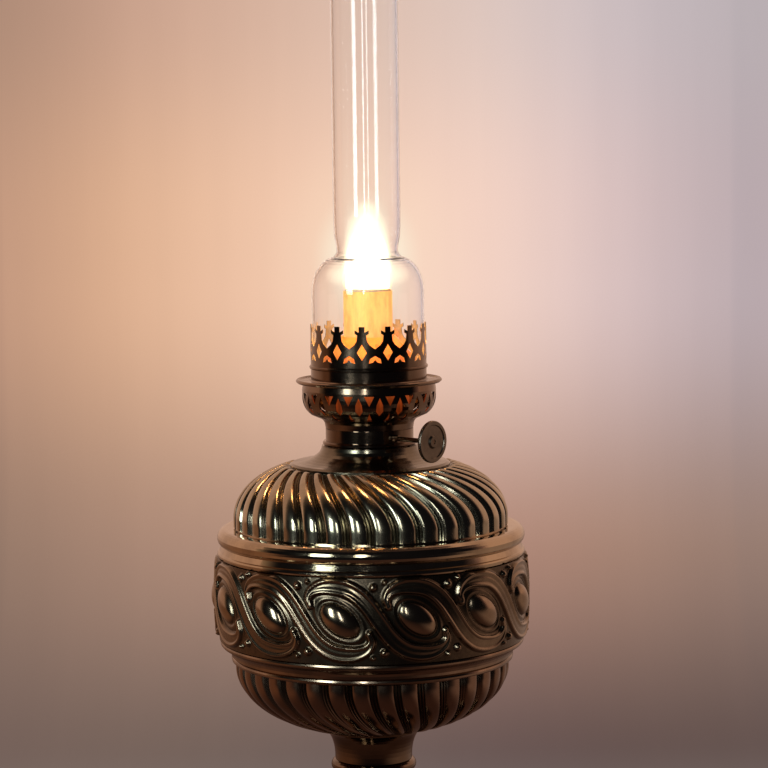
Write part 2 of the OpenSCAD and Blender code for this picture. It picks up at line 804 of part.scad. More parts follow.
module star_wheels() {
    color("#b09048")
        at_spindle()
            for (s = [-star_s, star_s])
                translate([s - star_w / 2, spindle_offset, spindle_z])
                    rotate([0, 90, 0])
                        difference() {
                            linear_extrude(star_w)
                                polygon(star_points);
                            translate([0, 0, -1])
                                cylinder(r = spindle_r, h = star_w + 2, $fn = 32);
                        }
}

// a disc with a raised rim on both faces and a hub that the spindle is riveted in
module wick_knob() {
    r = knob_d / 2;
    rim_in_r = r - 1.8;
    web_r = r - 2.2;
    hub_r = 3;
    back = [[spindle_r, 0], [hub_r, 0], [hub_r, 0.4], [web_r, 0.4], [rim_in_r, 0], [r - 0.4, 0]];
    front = [[r - 0.4, knob_t], [rim_in_r, knob_t], [web_r, knob_t - 0.5], [hub_r + 0.2, knob_t - 0.5],
        [hub_r - 0.6, knob_t + 0.3], [spindle_r, knob_t + 0.3]];
    face = concat(back, [[r, 0.5], [r, knob_t - 0.5]], front);
    color("#4d473a")
        at_spindle()
            translate([knob_s - knob_t / 2, spindle_offset, spindle_z])
                rotate([0, 90, 0])
                    turned(face);
}

// the wick's section: flat in the guide, round in the tubes
wick_sides = 24;
function ease(t) = let (c = min(1, max(0, t))) c * c * (3 - 2 * c);
function wick_ring(z, side) = let (
    e = ease((z - wick_bend_z) / wick_bend_h),
    a = wick_flat_w + (wick_mean_r - wick_flat_w) * e + side * wick_t / 2,
    b = wick_flat_b + (wick_mean_r - wick_flat_b) * e + side * wick_t / 2)
    [for (k = [0:wick_sides - 1]) [a * cos(k * 360 / wick_sides), b * sin(k * 360 / wick_sides), z]];
wick_levels = concat([wick_bottom_z], [for (i = [0:6]) wick_bend_z + wick_bend_h * i / 6], [wick_top_z]);

module wick() {
    n = wick_sides;
    levels = concat(wick_levels, [for (i = [len(wick_levels) - 1:-1:0]) wick_levels[i]]);
    half = len(wick_levels);
    points = [for (i = [0:2 * half - 1]) each wick_ring(levels[i], i < half ? 1 : -1)];
    faces = [for (i = [0:2 * half - 1]) for (k = [0:n - 1]) let (
        a = i * n + k, b = i * n + (k + 1) % n,
        c = ((i + 1) % (2 * half)) * n + (k + 1) % n, d = ((i + 1) % (2 * half)) * n + k)
        each [[a, d, c], [a, c, b]]];
    color("ivory")
        difference() {
            at_spindle()
                polyhedron(points = points, faces = faces, convexity = 6);
            rotate([0, 0, spindle_azimuth + 90])
                translate([2, -duct_w / 2 - tube_t - wick_gap, duct_z - tube_t - travel_up - wick_gap])
                    cube([20, duct_w + 2 * (tube_t + wick_gap), duct_h + 2 * tube_t + travel_up + travel_down
                        + 2 * wick_gap]);
        }
}

// ---- gallery ----

basket_path = concat([[drum_r, gallery_z]],
    arc_points([drum_r + 0.2 + 3.2, gallery_z + 1.2], 3.2, 3.6, 180, 110, 3),
    arc_points([drum_r + 3.4, shade_ring_z - 6], basket_r - drum_r - 3.4, basket_h - 11.5, -62, 0, 6),
    [[basket_r, shade_ring_z - 3], [basket_r - 0.4, shade_ring_z]]);

module air_basket() {
    // outlines in millimetres down from the shade ring
    z = shade_ring_z;
    w = 360 / basket_arches;
    spandrel = [[-2.3, z - 4], [2.3, z - 4], [0, z - 8.6]];
    lancet = [[0, z - 4.6], [1.5, z - 8], [1.7, z - 11], [0, z - 13.2], [-1.7, z - 11], [-1.5, z - 8]];
    foot_hole = [[0, z - 12], [1.2, z - 16], [-1.2, z - 16]];
    color("#4a4232")
        difference() {
            spun(basket_path, gallery_t);
            for (i = [0:basket_arches - 1]) {
                radial_prism(i * w, spandrel, cut_from_r, cut_to_r);
                radial_prism((i + 0.5) * w, lancet, cut_from_r, cut_to_r);
                radial_prism(i * w, foot_hole, cut_from_r, cut_to_r);
            }
        }
}

module shade_ring() {
    z = shade_ring_z;
    color("#7a6138")
        turned([[basket_r - 2.5, z], [shade_ring_r - 0.8, z], [shade_ring_r, z + 0.7],
            [shade_ring_r, z + 1.3], [shade_ring_r - 0.5, z + shade_ring_h],
            [shade_ring_r - 1.6, z + shade_ring_h - 0.6], [crown_r + 0.8, z + shade_ring_h - 0.4],
            [crown_r + 0.4, z + shade_ring_h], [crown_bore_r, z + shade_ring_h], [crown_bore_r, z + 0.6],
            [basket_r - 2.5, z + 0.4]]);
}

// the radii between which the gallery's openings are cut
cut_from_r = 12;
cut_to_r = shade_ring_r + 4;

// depth of the gaps between the finials
gap_h = 10.3;

module gallery_crown() {
    z = crown_z;
    top = crown_top_z;
    bead_z = z + 5.8;
    w = 360 / crown_prongs;
    scallop_w = crown_r * PI / crown_prongs;
    scallop = [[-scallop_w + 3.3, top + 1], [-scallop_w + 1.4, top + 1], [-scallop_w + 1.4, top - 2.6],
        [-scallop_w + 3.3, top - 1.6], [-scallop_w + 3.3, top - 3.2], [-scallop_w + 2.1, top - 3.9],
        [-scallop_w + 2.5, top - 6.8], [-scallop_w + 3.6, top - 8.4], [-1.2, top - 9.4], [0, top - gap_h],
        [1.2, top - 9.4], [scallop_w - 3.6, top - 8.4], [scallop_w - 2.5, top - 6.8],
        [scallop_w - 2.1, top - 3.9], [scallop_w - 3.3, top - 3.2], [scallop_w - 3.3, top - 1.6],
        [scallop_w - 1.4, top - 2.6], [scallop_w - 1.4, top + 1]];
    diamond = [[0, top - 8.1], [2.3, top - 11.9], [0, top - 15.6], [-2.3, top - 11.9]];
    arch = [[-2.9, top - 16.9], [-2.4, top - 14.8], [0, top - 13.4], [2.4, top - 14.8], [2.9, top - 16.9],
        [1, top - 16.4], [0, top - 15.2], [-1, top - 16.4]];
    color("#4a4232")
        difference() {
            turned(concat([[crown_bore_r, z], [crown_r, z], [crown_r, bead_z - 0.9]],
                arc_points([crown_r - 0.1, bead_z], 0.8, 0.9, -80, 80, 5),
                [[crown_r, bead_z + 0.9], [crown_r, top], [crown_bore_r, top]]));
            for (i = [0:crown_prongs - 1])
                rotate([0, 0, crown_turn]) {
                    radial_prism((i + 0.5) * w, scallop, cut_from_r, cut_to_r);
                    radial_prism(i * w, diamond, cut_from_r, cut_to_r);
                    radial_prism((i + 0.5) * w, arch, cut_from_r, cut_to_r);
                }
        }
}

cone_h = 13;
cone_top_r = wick_tube_r + 0.7;
cone_foot_r = chimney_r - glass_t - 1.2;
cone_hole_r = 1.1;
cone_holes = 12;
// the two rows of holes are centred this far up the cone, as shares of its width
cone_rows = [0.3, 0.65];

module air_cone() {
    top_z = seat_z + cone_h;
    lip_r = cone_top_r + gallery_t;
    color("#a0762c")
        difference() {
            turned([[crown_bore_r, seat_z - gallery_t], [crown_bore_r, seat_z], [cone_foot_r, seat_z],
                [lip_r + 1.2, top_z - 1.2], [lip_r, top_z], [cone_top_r, top_z],
                [cone_top_r, top_z - 1], [cone_foot_r - gallery_t * 1.6, seat_z - gallery_t]]);
            for (row = [0:1])
                for (i = [0:cone_holes - 1])
                    rotate([0, 0, (i + row / 2) * 360 / cone_holes])
                        translate([cone_foot_r - cone_rows[row] * (cone_foot_r - cone_top_r), 0, seat_z - 2])
                            cylinder(r = cone_hole_r, h = cone_h + 2, $fn = 16);
        }
}

// ---- chimney ----

module chimney() {
    z = chimney_z;
    shoulder_z = z + chimney_base_h;
    pinch_z = shoulder_z + shoulder_h + 2.8;
    outer = concat([[chimney_r, z], [chimney_r, shoulder_z]],
        arc_points([pinch_r + 0.2, shoulder_z], chimney_r - pinch_r - 0.2, shoulder_h, 12, 84, 8),
        [[pinch_r, pinch_z - 0.8], [pinch_r + 0.1, pinch_z + 1.6], [flue_r - 0.3, pinch_z + 7],
            [flue_r, pinch_z + 16], [flue_r, z + chimney_h]]);
    color([0.85, 0.9, 0.95, 0.35])
        spun(outer, glass_t);
}

felt_pad();
base_plate();
foot_weight();
foot_shell();
stem_column();
stem_lower_ring();
stem_vase();
stem_upper_ring();
stem_trumpet();
tie_rod();
tie_rod_nuts();
tie_rod_washer();
font_bowl();
lower_moulding();
font_band();
upper_moulding();
font_dome();
font_neck();
tank_floor();
tank_side();
tank_top();
font_collar();
burner_base();
wick_guide();
wick_tube();
air_tube();
spindle_bushes();
wick_spindle();
star_wheels();
wick_knob();
wick();
air_basket();
shade_ring();
gallery_crown();
air_cone();
chimney();
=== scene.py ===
"""The looks of a round-wick oil lamp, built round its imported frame.

The font's three embossed shells and the flame are modelled here; every other piece stays
as the frame has it and is dressed. +Z is up. Sizes of the lamp's own pieces are in
millimetres and become metres as a mesh is made; materials and the studio are in metres.
"""
import logging
import math
from dataclasses import dataclass, replace
from enum import Enum
from typing import Any, Callable, Optional, Sequence, Union

import bmesh
import bpy
from mathutils import Matrix, Vector


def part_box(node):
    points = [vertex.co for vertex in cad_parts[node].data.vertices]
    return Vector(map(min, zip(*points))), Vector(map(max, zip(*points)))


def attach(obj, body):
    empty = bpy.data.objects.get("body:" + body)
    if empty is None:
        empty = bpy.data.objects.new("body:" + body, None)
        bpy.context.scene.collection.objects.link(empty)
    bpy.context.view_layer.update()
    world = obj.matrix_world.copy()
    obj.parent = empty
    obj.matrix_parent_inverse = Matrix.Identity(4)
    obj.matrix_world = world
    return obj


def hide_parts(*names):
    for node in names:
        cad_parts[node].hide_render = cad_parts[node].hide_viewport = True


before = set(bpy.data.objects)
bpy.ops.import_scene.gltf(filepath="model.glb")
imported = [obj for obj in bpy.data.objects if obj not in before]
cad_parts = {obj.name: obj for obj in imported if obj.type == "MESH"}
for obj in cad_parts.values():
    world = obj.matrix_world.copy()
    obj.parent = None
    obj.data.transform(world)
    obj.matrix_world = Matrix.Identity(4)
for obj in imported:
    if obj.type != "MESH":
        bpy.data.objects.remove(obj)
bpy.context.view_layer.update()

MM = 0.001
WELD = 1e-6
AXIS_UP = (0.0, 0.0, 1.0)
ORIGIN = (0.0, 0.0, 0.0)
BLACK = (0.0, 0.0, 0.0)
BRASS_SLOT = "antique_brass"
FLAME_SLOT = "flame"
LOG = logging.getLogger("lamp")

Point = tuple[float, float]
Span = tuple[float, float]
Colour = tuple[float, float, float]
Owner = Union[bpy.types.Material, bpy.types.World]
Inputs = Union[Sequence[Any], dict[Any, Any]]
Shaper = Callable[[bmesh.types.BMesh], None]

# Finishes already built, by name. The frame's own materials are never looked up.
MADE: dict[str, bpy.types.Material] = {}


# ---- shader maths ----


class Signal:
    """A value, colour or vector in a node tree, whose arithmetic adds Math nodes."""

    def __init__(self, graph: "Graph", socket: bpy.types.NodeSocket) -> None:
        """Wraps one output socket.

        Args:
            graph: The graph that owns the socket.
            socket: The output socket.
        """
        self.graph = graph
        self.socket = socket

    def _maths(self, operation: str, *terms: "Term") -> "Signal":
        """Adds a Math node on this signal and further terms."""
        return self.graph.make("ShaderNodeMath", {"operation": operation}, *terms)

    def __add__(self, other: "Term") -> "Signal":
        """The sum."""
        return self._maths("ADD", self, other)

    __radd__ = __add__

    def __sub__(self, other: "Term") -> "Signal":
        """The difference."""
        return self._maths("SUBTRACT", self, other)

    def __rsub__(self, other: "Term") -> "Signal":
        """The difference the other way round."""
        return self._maths("SUBTRACT", other, self)

    def __mul__(self, other: "Term") -> "Signal":
        """The product."""
        return self._maths("MULTIPLY", self, other)

    __rmul__ = __mul__

    def __pow__(self, other: "Term") -> "Signal":
        """The power."""
        return self._maths("POWER", self, other)

    def clamped(self) -> "Signal":
        """The signal held between 0 and 1."""
        return self.graph.make("ShaderNodeClamp", {}, self)

    def rise(self, low: float, high: float) -> "Signal":
        """Turns a stretch of the signal smoothly into 0 to 1.

        Args:
            low: The value that becomes 0, which may be the larger one.
            high: The value that becomes 1.

        Returns:
            The signal between 0 and 1.
        """
        settings = {"interpolation_type": "SMOOTHSTEP"}
        return self.graph.make("ShaderNodeMapRange", settings, self, low, high)


Term = Union[Signal, float]


class Graph:
    """The node tree of one material or world."""

    def __init__(self, owner: Owner, place: str = "Object") -> None:
        """Empties the owner's node tree.

        Args:
            owner: The material or world.
            place: The texture coordinate that noise and gradients are read at.
        """
        owner.use_nodes = True
        self.owner = owner
        self.tree = owner.node_tree
        self.tree.nodes.clear()
        self.place = self.out("ShaderNodeTexCoord", place)

    @classmethod
    def material(cls, name: str) -> "Graph":
        """Starts a new material of the given name."""
        return cls(bpy.data.materials.new(name))

    def add(self, kind: str, settings: dict[str, Any], inputs: Inputs) -> bpy.types.Node:
        """Adds any node.

        Args:
            kind: The node's type.
            settings: Its properties, set before its sockets.
            inputs: Values or signals by position, or by socket name or number.

        Returns:
            The node.
        """
        node = self.tree.nodes.new(kind)
        for key, value in settings.items():
            setattr(node, key, value)
        pairs = inputs.items() if isinstance(inputs, dict) else enumerate(inputs)
        for key, value in pairs:
            if isinstance(value, Signal):
                self.tree.links.new(value.socket, node.inputs[key])
            else:
                node.inputs[key].default_value = value
        return node

    def make(self, kind: str, settings: dict[str, Any], *inputs: Any) -> Signal:
        """Adds a node with its inputs in order and returns its first output."""
        return Signal(self, self.add(kind, settings, inputs).outputs[0])

    def out(
        self, kind: str, output: str, settings: Optional[dict[str, Any]] = None, **inputs: Any
    ) -> Signal:
        """Adds a node with named inputs and returns a named output."""
        return Signal(self, self.add(kind, settings or {}, inputs).outputs[output])

    def noise(
        self, scale: float, detail: float = 4.0, rough: float = 0.55, at: Optional[Signal] = None
    ) -> Signal:
        """Fractal noise between 0 and 1.

        Args:
            scale: Cells per metre.
            detail: Octaves.
            rough: Strength of the finer octaves.
            at: Where it is read; Object coordinates if left out.

        Returns:
            The noise.
        """
        return self.out(
            "ShaderNodeTexNoise", "Fac", None,
            Vector=at or self.place, Scale=scale, Detail=detail, Roughness=rough,
        )

    def stretched(self, x: float, y: float, z: float) -> Signal:
        """Object coordinates scaled by x, y and z."""
        return self.make("ShaderNodeVectorMath", {"operation": "MULTIPLY"}, self.place, (x, y, z))

    def axes(self) -> tuple[Signal, Signal, Signal]:
        """The X, Y and Z of the texture coordinate."""
        split = self.add("ShaderNodeSeparateXYZ", {}, [self.place])
        return tuple(Signal(self, socket) for socket in split.outputs)

    def ray(self, *kinds: str) -> Signal:
        """1 for light paths of any of the given kinds, such as Is Camera Ray."""
        found = [self.out("ShaderNodeLightPath", kind) for kind in kinds]
        return sum(found[1:], found[0]).clamped()

    def attribute(self, name: str) -> Signal:
        """A mesh attribute's value."""
        return self.out("ShaderNodeAttribute", "Fac", {"attribute_name": name})

    def blend(self, factor: Term, a: Union[Signal, Colour], b: Union[Signal, Colour]) -> Signal:
        """Mixes two colours.

        Args:
            factor: 0 for a, 1 for b.
            a: The first colour.
            b: The second colour.

        Returns:
            The mixed colour.
        """
        pad = [c if isinstance(c, Signal) else (*c, 1.0) for c in (a, b)]
        node = self.add("ShaderNodeMix", {"data_type": "RGBA"}, {0: factor, 6: pad[0], 7: pad[1]})
        return Signal(self, node.outputs[2])

    def ramp(self, place: Signal, stops: Sequence[tuple[float, Colour]]) -> Signal:
        """A colour that changes smoothly along a signal.

        Args:
            place: The signal, 0 to 1.
            stops: Places and their colours, lowest first.

        Returns:
            The colour.
        """
        node = self.add("ShaderNodeValToRGB", {}, [place])
        node.color_ramp.interpolation = "B_SPLINE"
        points = node.color_ramp.elements
        while len(points) < len(stops):
            points.new(0.5)
        for point, (where, colour) in zip(points, stops):
            point.position, point.color = where, (*colour, 1.0)
        return Signal(self, node.outputs["Color"])

    def bump(self, height: Signal, distance: float, strength: float = 1.0) -> Signal:
        """A normal from a height in metres of distance."""
        return self.out(
            "ShaderNodeBump", "Normal", None, Height=height, Distance=distance, Strength=strength
        )

    def principled(self, **inputs: Any) -> Signal:
        """A Principled shader, with socket names written with underscores."""
        named = {key.replace("_", " "): value for key, value in inputs.items()}
        return Signal(self, self.add("ShaderNodeBsdfPrincipled", {}, named).outputs[0])

    def mixed(self, factor: Signal, a: Signal, b: Signal) -> Signal:
        """A mix of two shaders, 0 for a and 1 for b."""
        return self.make("ShaderNodeMixShader", {}, factor, a, b)

    def finish(self, surface: Signal, kind: str = "ShaderNodeOutputMaterial") -> Any:
        """Links the surface to the output and returns the material or world."""
        self.add(kind, {}, {"Surface": surface})
        return self.owner


# ---- finishes ----


@dataclass(frozen=True)
class AgedBrass:
    """Old brass: a warm sheen, brown patina in clouds, dirt and painted shade in its hollows and
    fine wear.

    Pieces near the flame also get the flame's light painted on as emission, from glow_deep at
    glow_low to glow_bright at glow_high, and painted shade below it.
    """

    name: str
    bright: Colour = (0.46, 0.385, 0.27)
    brown: Colour = (0.20, 0.14, 0.095)
    # darkest colour: dirt and painted shade in the relief's hollows, and painted shade below the
    # painted flame light
    dirt_and_shade: Colour = (0.018, 0.013, 0.009)
    rough: float = 0.2
    uneven: float = 1.0  # share of clouds and flecks in the roughness
    clouds: float = 60.0  # per metre
    drawn: float = 1.0  # below 1, clouds are drawn out along Z
    cloud_edges: Span = (0.36, 0.66)  # noise between which a cloud fades in
    flecks: float = 9.0  # to a cloud
    brownness: float = 0.5
    embossed: bool = False  # dirt and painted shade lie low in the relief attribute
    raised: float = 0.7  # relief that is clear of dirt and painted shade
    spun_lines: float = 0.0  # height of the turning marks
    spun_scale: tuple[float, float, float] = (40.0, 40.0, 5200.0)
    bump: float = 0.00004  # depth of flecks and marks in metres
    glow: float = 0.0  # emission strength of the painted flame light
    glow_deep: Colour = (1.0, 0.14, 0.02)
    glow_bright: Colour = (0.5, 0.29, 0.045)
    glow_low: float = 0.298  # height in metres where glow_deep starts
    glow_high: float = 0.33  # height where it has become glow_bright
    glow_fade: float = 0.012  # metres below glow_low in which it dies
    foot_light: float = 0.09  # share of the painted light left at glow_low
    inner: float = 0.0  # radius in metres that alone gets the painted light, 0 for all

    def build(self) -> bpy.types.Material:
        """Makes the material.

        Returns:
            The material.
        """
        g = Graph.material(self.name)
        at = g.stretched(1.0, 1.0, self.drawn)
        cloud = g.noise(self.clouds, 5.0, 0.6, at=at).rise(*self.cloud_edges)
        fleck = g.noise(self.clouds * self.flecks, 3.0, 0.6)
        patina = (cloud * 0.75 + fleck * 0.25) * self.brownness
        colour = g.blend(patina, self.bright, self.brown)
        rough = cloud * (0.09 * self.uneven) + fleck * (0.06 * self.uneven) + self.rough
        height = fleck * 0.2
        if self.embossed:
            # Dirt and painted shade darken the hollows; the dirt also roughens them.
            hollow = 1.0 - g.attribute("relief").rise(0.0, self.raised)
            hollow = hollow * (fleck * 0.4 + 0.6)
            colour = g.blend(hollow.clamped() * 0.86, colour, self.dirt_and_shade)
            rough = rough + hollow * 0.12
        if self.spun_lines > 0.0:
            marks = g.noise(1.0, 2.0, 0.7, at=g.stretched(*self.spun_scale))
            height = height + marks * self.spun_lines
        glow = {}
        if self.glow > 0.0:
            # Painted shade: the metal turns dark below the painted flame light.
            flame_lit = g.axes()[2].rise(self.glow_low, self.glow_high)
            colour = g.blend((flame_lit * 1.6 + 0.06).clamped(), self.dirt_and_shade, colour)
            glow = self._glow(g, flame_lit, cloud)
        surface = g.principled(
            Base_Color=colour, Metallic=1.0, Roughness=rough.clamped(),
            Normal=g.bump(height, self.bump), **glow,
        )
        return g.finish(surface)

    def _glow(self, g: Graph, flame_lit: Signal, cloud: Signal) -> dict[str, Any]:
        """Works out the flame's light painted on a piece near the flame.

        Args:
            g: The material's graph.
            flame_lit: 0 at the painted light's foot to 1 at its top.
            cloud: The patina's clouds, which make the glow uneven.

        Returns:
            The Principled shader's emission inputs.
        """
        x, y, up = g.axes()
        warm = g.blend(flame_lit, self.glow_deep, self.glow_bright)
        lit = flame_lit * (1.0 - self.foot_light) + self.foot_light
        lit = lit * (cloud * 0.6 + 0.4) * up.rise(self.glow_low - self.glow_fade, self.glow_low)
        if self.inner > 0.0:
            radius = (x**2.0 + y**2.0) ** 0.5
            lit = lit * (1.0 - radius.rise(self.inner, self.inner + 0.0001))
        return {
            "Emission_Color": g.blend(lit.clamped(), BLACK, warm),
            "Emission_Strength": self.glow,
        }


@dataclass(frozen=True)
class PlainFinish:
    """A mottled finish for felt, iron, tinned sheet and cotton."""

    name: str
    light: Colour
    dark: Colour
    rough: float
    metal: float = 0.0
    grain: float = 900.0  # per metre
    bump: float = 0.0002  # depth of the grain in metres
    stretch: tuple[float, float, float] = (1.0, 1.0, 1.0)
    sheen: float = 0.0

    def build(self) -> bpy.types.Material:
        """Makes the material.

        Returns:
            The material.
        """
        g = Graph.material(self.name)
        grain = g.noise(self.grain, 4.0, 0.65, at=g.stretched(*self.stretch))
        cloud = g.noise(self.grain * 0.08, 3.0)
        colour = g.blend((grain * 0.6 + cloud * 0.4).rise(0.3, 0.7), self.light, self.dark)
        rough = grain * 0.15 + self.rough
        surface = g.principled(
            Base_Color=colour, Metallic=self.metal, Roughness=rough.clamped(),
            Normal=g.bump(grain, self.bump), Sheen_Weight=self.sheen,
        )
        return g.finish(surface)


@dataclass(frozen=True)
class ClearGlass:
    """Thin clear lamp glass with faint waves, which lets the flame's light out."""

    name: str
    tint: Colour = (0.998, 1.0, 0.998)
    ior: float = 1.1
    gloss: float = 0.6  # weight of the clear reflections
    gloss_ior: float = 1.5
    waves: float = 14.0  # per metre
    wave_stretch: float = 0.35  # below 1, waves are drawn out along Z
    wave_depth: float = 0.0006
    wave_strength: float = 0.25

    def build(self) -> bpy.types.Material:
        """Makes the material.

        Returns:
            The material.
        """
        g = Graph.material(self.name)
        wave = g.noise(self.waves, 1.0, 0.4, at=g.stretched(1.0, 1.0, self.wave_stretch))
        glass = g.principled(
            Base_Color=(*self.tint, 1.0), Transmission_Weight=1.0, Roughness=0.0, IOR=self.ior,
            Coat_Weight=self.gloss, Coat_Roughness=0.0, Coat_IOR=self.gloss_ior,
            Normal=g.bump(wave, self.wave_depth, self.wave_strength),
        )
        clear = g.make("ShaderNodeBsdfTransparent", {}, (*self.tint, 1.0))
        return g.finish(g.mixed(g.ray("Is Shadow Ray", "Is Diffuse Ray"), glass, clear))


@dataclass(frozen=True)
class BurningGas:
    """Glowing gas, densest where it is looked through and clear at its edge."""

    name: str
    heart: Colour = (1.0, 0.96, 0.80)
    edge: Colour = (1.0, 0.62, 0.22)
    strength: float = 14.0
    density: float = 1.0  # how much it hides where it is densest
    softness: float = 1.2  # power by which it clears towards its edge

    def build(self) -> bpy.types.Material:
        """Makes the material.

        Returns:
            The material.
        """
        g = Graph.material(self.name)
        facing = g.out("ShaderNodeLayerWeight", "Facing", None, Blend=0.5)
        seen = (1.0 - facing).clamped()
        surface = g.principled(
            Base_Color=(*BLACK, 1.0), Roughness=1.0, Specular_IOR_Level=0.0,
            Emission_Color=g.blend(seen, self.edge, self.heart), Emission_Strength=self.strength,
            Alpha=(seen**self.softness * self.density).clamped(),
        )
        return g.finish(surface)


class Finish(Enum):
    """Every finish on the lamp."""

    EMBOSSED = AgedBrass("embossed_brass", embossed=True, rough=0.11)
    BAND = AgedBrass(
        "band_brass", bright=(0.37, 0.27, 0.18), brown=(0.17, 0.105, 0.07),
        embossed=True, raised=1.15, rough=0.09,
    )
    # A darker copy of the font's brass: painted shade on the bowl under the font's bulge.
    BOWL = AgedBrass(
        "bowl_brass", bright=(0.25, 0.155, 0.105), brown=(0.12, 0.07, 0.048),
        embossed=True, rough=0.15,
    )
    SPUN = AgedBrass(
        "spun_brass", bright=(0.50, 0.38, 0.25), brownness=0.6,
        rough=0.06, spun_lines=0.4, uneven=0.5,
    )
    # A darker copy of the spun brass: painted shade on the stem under the font.
    STEM = AgedBrass(
        "stem_brass", bright=(0.18, 0.12, 0.078), brown=(0.07, 0.045, 0.03),
        rough=0.07, spun_lines=0.4, uneven=0.5,
    )
    NECK = AgedBrass(
        "neck_brass", bright=(0.21, 0.17, 0.12), brown=(0.08, 0.06, 0.042),
        rough=0.12, spun_lines=0.3,
    )
    RING = AgedBrass(
        "ring_brass", bright=(0.30, 0.205, 0.14), brown=(0.11, 0.075, 0.052),
        brownness=0.7, rough=0.1,
    )
    KNOB = AgedBrass(
        "knob_brass", bright=(0.24, 0.19, 0.145), brown=(0.09, 0.068, 0.05),
        brownness=0.8, rough=0.22,
    )
    GALLERY = AgedBrass(
        "sooty_brass", bright=(0.22, 0.145, 0.097), brown=(0.065, 0.04, 0.028), rough=0.07,
    )
    # Painted flame light on the crown's inner faces, as emission.
    CROWN = replace(
        GALLERY, name="crown_brass",
        glow=1.1, glow_bright=(1.0, 0.42, 0.10), glow_low=0.2, glow_high=0.21, inner=0.0269,
    )
    # The burner's tubes: painted flame light as emission near the top, painted shade below it.
    BURNER = AgedBrass(
        "heated_brass", bright=(0.52, 0.27, 0.09), brown=(0.24, 0.10, 0.025),
        brownness=0.9, rough=0.58, clouds=260.0, drawn=0.3,
        glow=2.3, glow_bright=(0.5, 0.235, 0.07), glow_low=0.292,
    )
    # The air cone: painted flame light as emission at its top.
    CONE = AgedBrass(
        "cone_brass", bright=(0.70, 0.27, 0.06), brown=(0.42, 0.12, 0.02),
        brownness=0.8, rough=0.4, clouds=150.0,
        glow=1.6, glow_bright=(0.85, 0.19, 0.02), glow_low=0.311, glow_high=0.327, foot_light=0.4,
    )
    STEEL = PlainFinish("plain_steel", (0.52, 0.52, 0.53), (0.30, 0.29, 0.28), 0.32, metal=1.0)
    IRON = PlainFinish(
        "cast_iron", (0.09, 0.09, 0.09), (0.04, 0.035, 0.03), 0.7, metal=0.6, bump=0.0006,
    )
    TIN = PlainFinish(
        "tinned_sheet", (0.55, 0.55, 0.53), (0.40, 0.39, 0.37), 0.4, metal=1.0, grain=300.0,
    )
    FELT = PlainFinish(
        "green_felt", (0.07, 0.16, 0.09), (0.03, 0.08, 0.045), 0.95, grain=2600.0, sheen=0.4,
    )
    COTTON = PlainFinish(
        "wick_cotton", (0.80, 0.72, 0.55), (0.55, 0.45, 0.30), 0.9,
        grain=1400.0, stretch=(1.0, 1.0, 0.4),
    )
    GLASS = ClearGlass("chimney_glass")
    FLAME = BurningGas("flame_glow", strength=4.0, softness=2.0)
    VEIL = BurningGas(
        "flame_veil", heart=(1.0, 0.93, 0.66), edge=(1.0, 0.84, 0.5),
        strength=2.6, density=0.35, softness=1.8,
    )
    HALO = BurningGas(
        "flame_halo", heart=(1.0, 0.90, 0.66), edge=(1.0, 0.82, 0.56),
        strength=1.7, density=0.35, softness=1.7,
    )

    @property
    def material(self) -> bpy.types.Material:
        """The finish's material, built on first use.

        Returns:
            The material.
        """
        name = self.value.name
        if name not in MADE:
            MADE[name] = self.value.build()
        return MADE[name]


# ---- mesh making ----


def arc(centre: Point, rx: float, rz: float, start: float, end: float, count: int) -> list[Point]:
    """Points along an ellipse's arc.

    Args:
        centre: Radius and height of the ellipse's centre.
        rx: Half-width.
        rz: Half-height.
        start: First angle in degrees.
        end: Last angle in degrees.
        count: Number of steps.

    Returns:
        The points.
    """
    angles = [math.radians(start + (end - start) * i / count) for i in range(count + 1)]
    return [(centre[0] + rx * math.cos(a), centre[1] + rz * math.sin(a)) for a in angles]


def slope(path: Sequence[Point], i: int) -> Point:
    """The unit direction of a path at one of its points.

    Args:
        path: The points.
        i: The point's number.

    Returns:
        The direction's radius and height.
    """
    a, b = path[max(i - 1, 0)], path[min(i + 1, len(path) - 1)]
    size = math.hypot(b[0] - a[0], b[1] - a[1])
    return (b[0] - a[0]) / size, (b[1] - a[1]) / size


def about_axis(mesh: bmesh.types.BMesh, angle: float, parts: Sequence[Any]) -> None:
    """Turns the vertices among some parts of a mesh about the lamp's axis.

    Args:
        mesh: The mesh.
        angle: The angle in radians.
        parts: Vertices, edges and faces.
    """
    verts = [part for part in parts if isinstance(part, bmesh.types.BMVert)]
    bmesh.ops.rotate(mesh, cent=ORIGIN, matrix=Matrix.Rotation(angle, 3, "Z"), verts=verts)


def walled(path: Sequence[Point], wall: float) -> list[Point]:
    """Closes an upward path with a copy moved towards the axis.

    Args:
        path: Radius and height points that run upwards.
        wall: The wall's thickness.

    Returns:
        The closed outline.
    """
    inner: list[Point] = []
    for i, (r, z) in enumerate(path):
        dr, dz = slope(path, i)
        inner.append((r - dz * wall, z + dr * wall))
    return list(path) + inner[::-1]


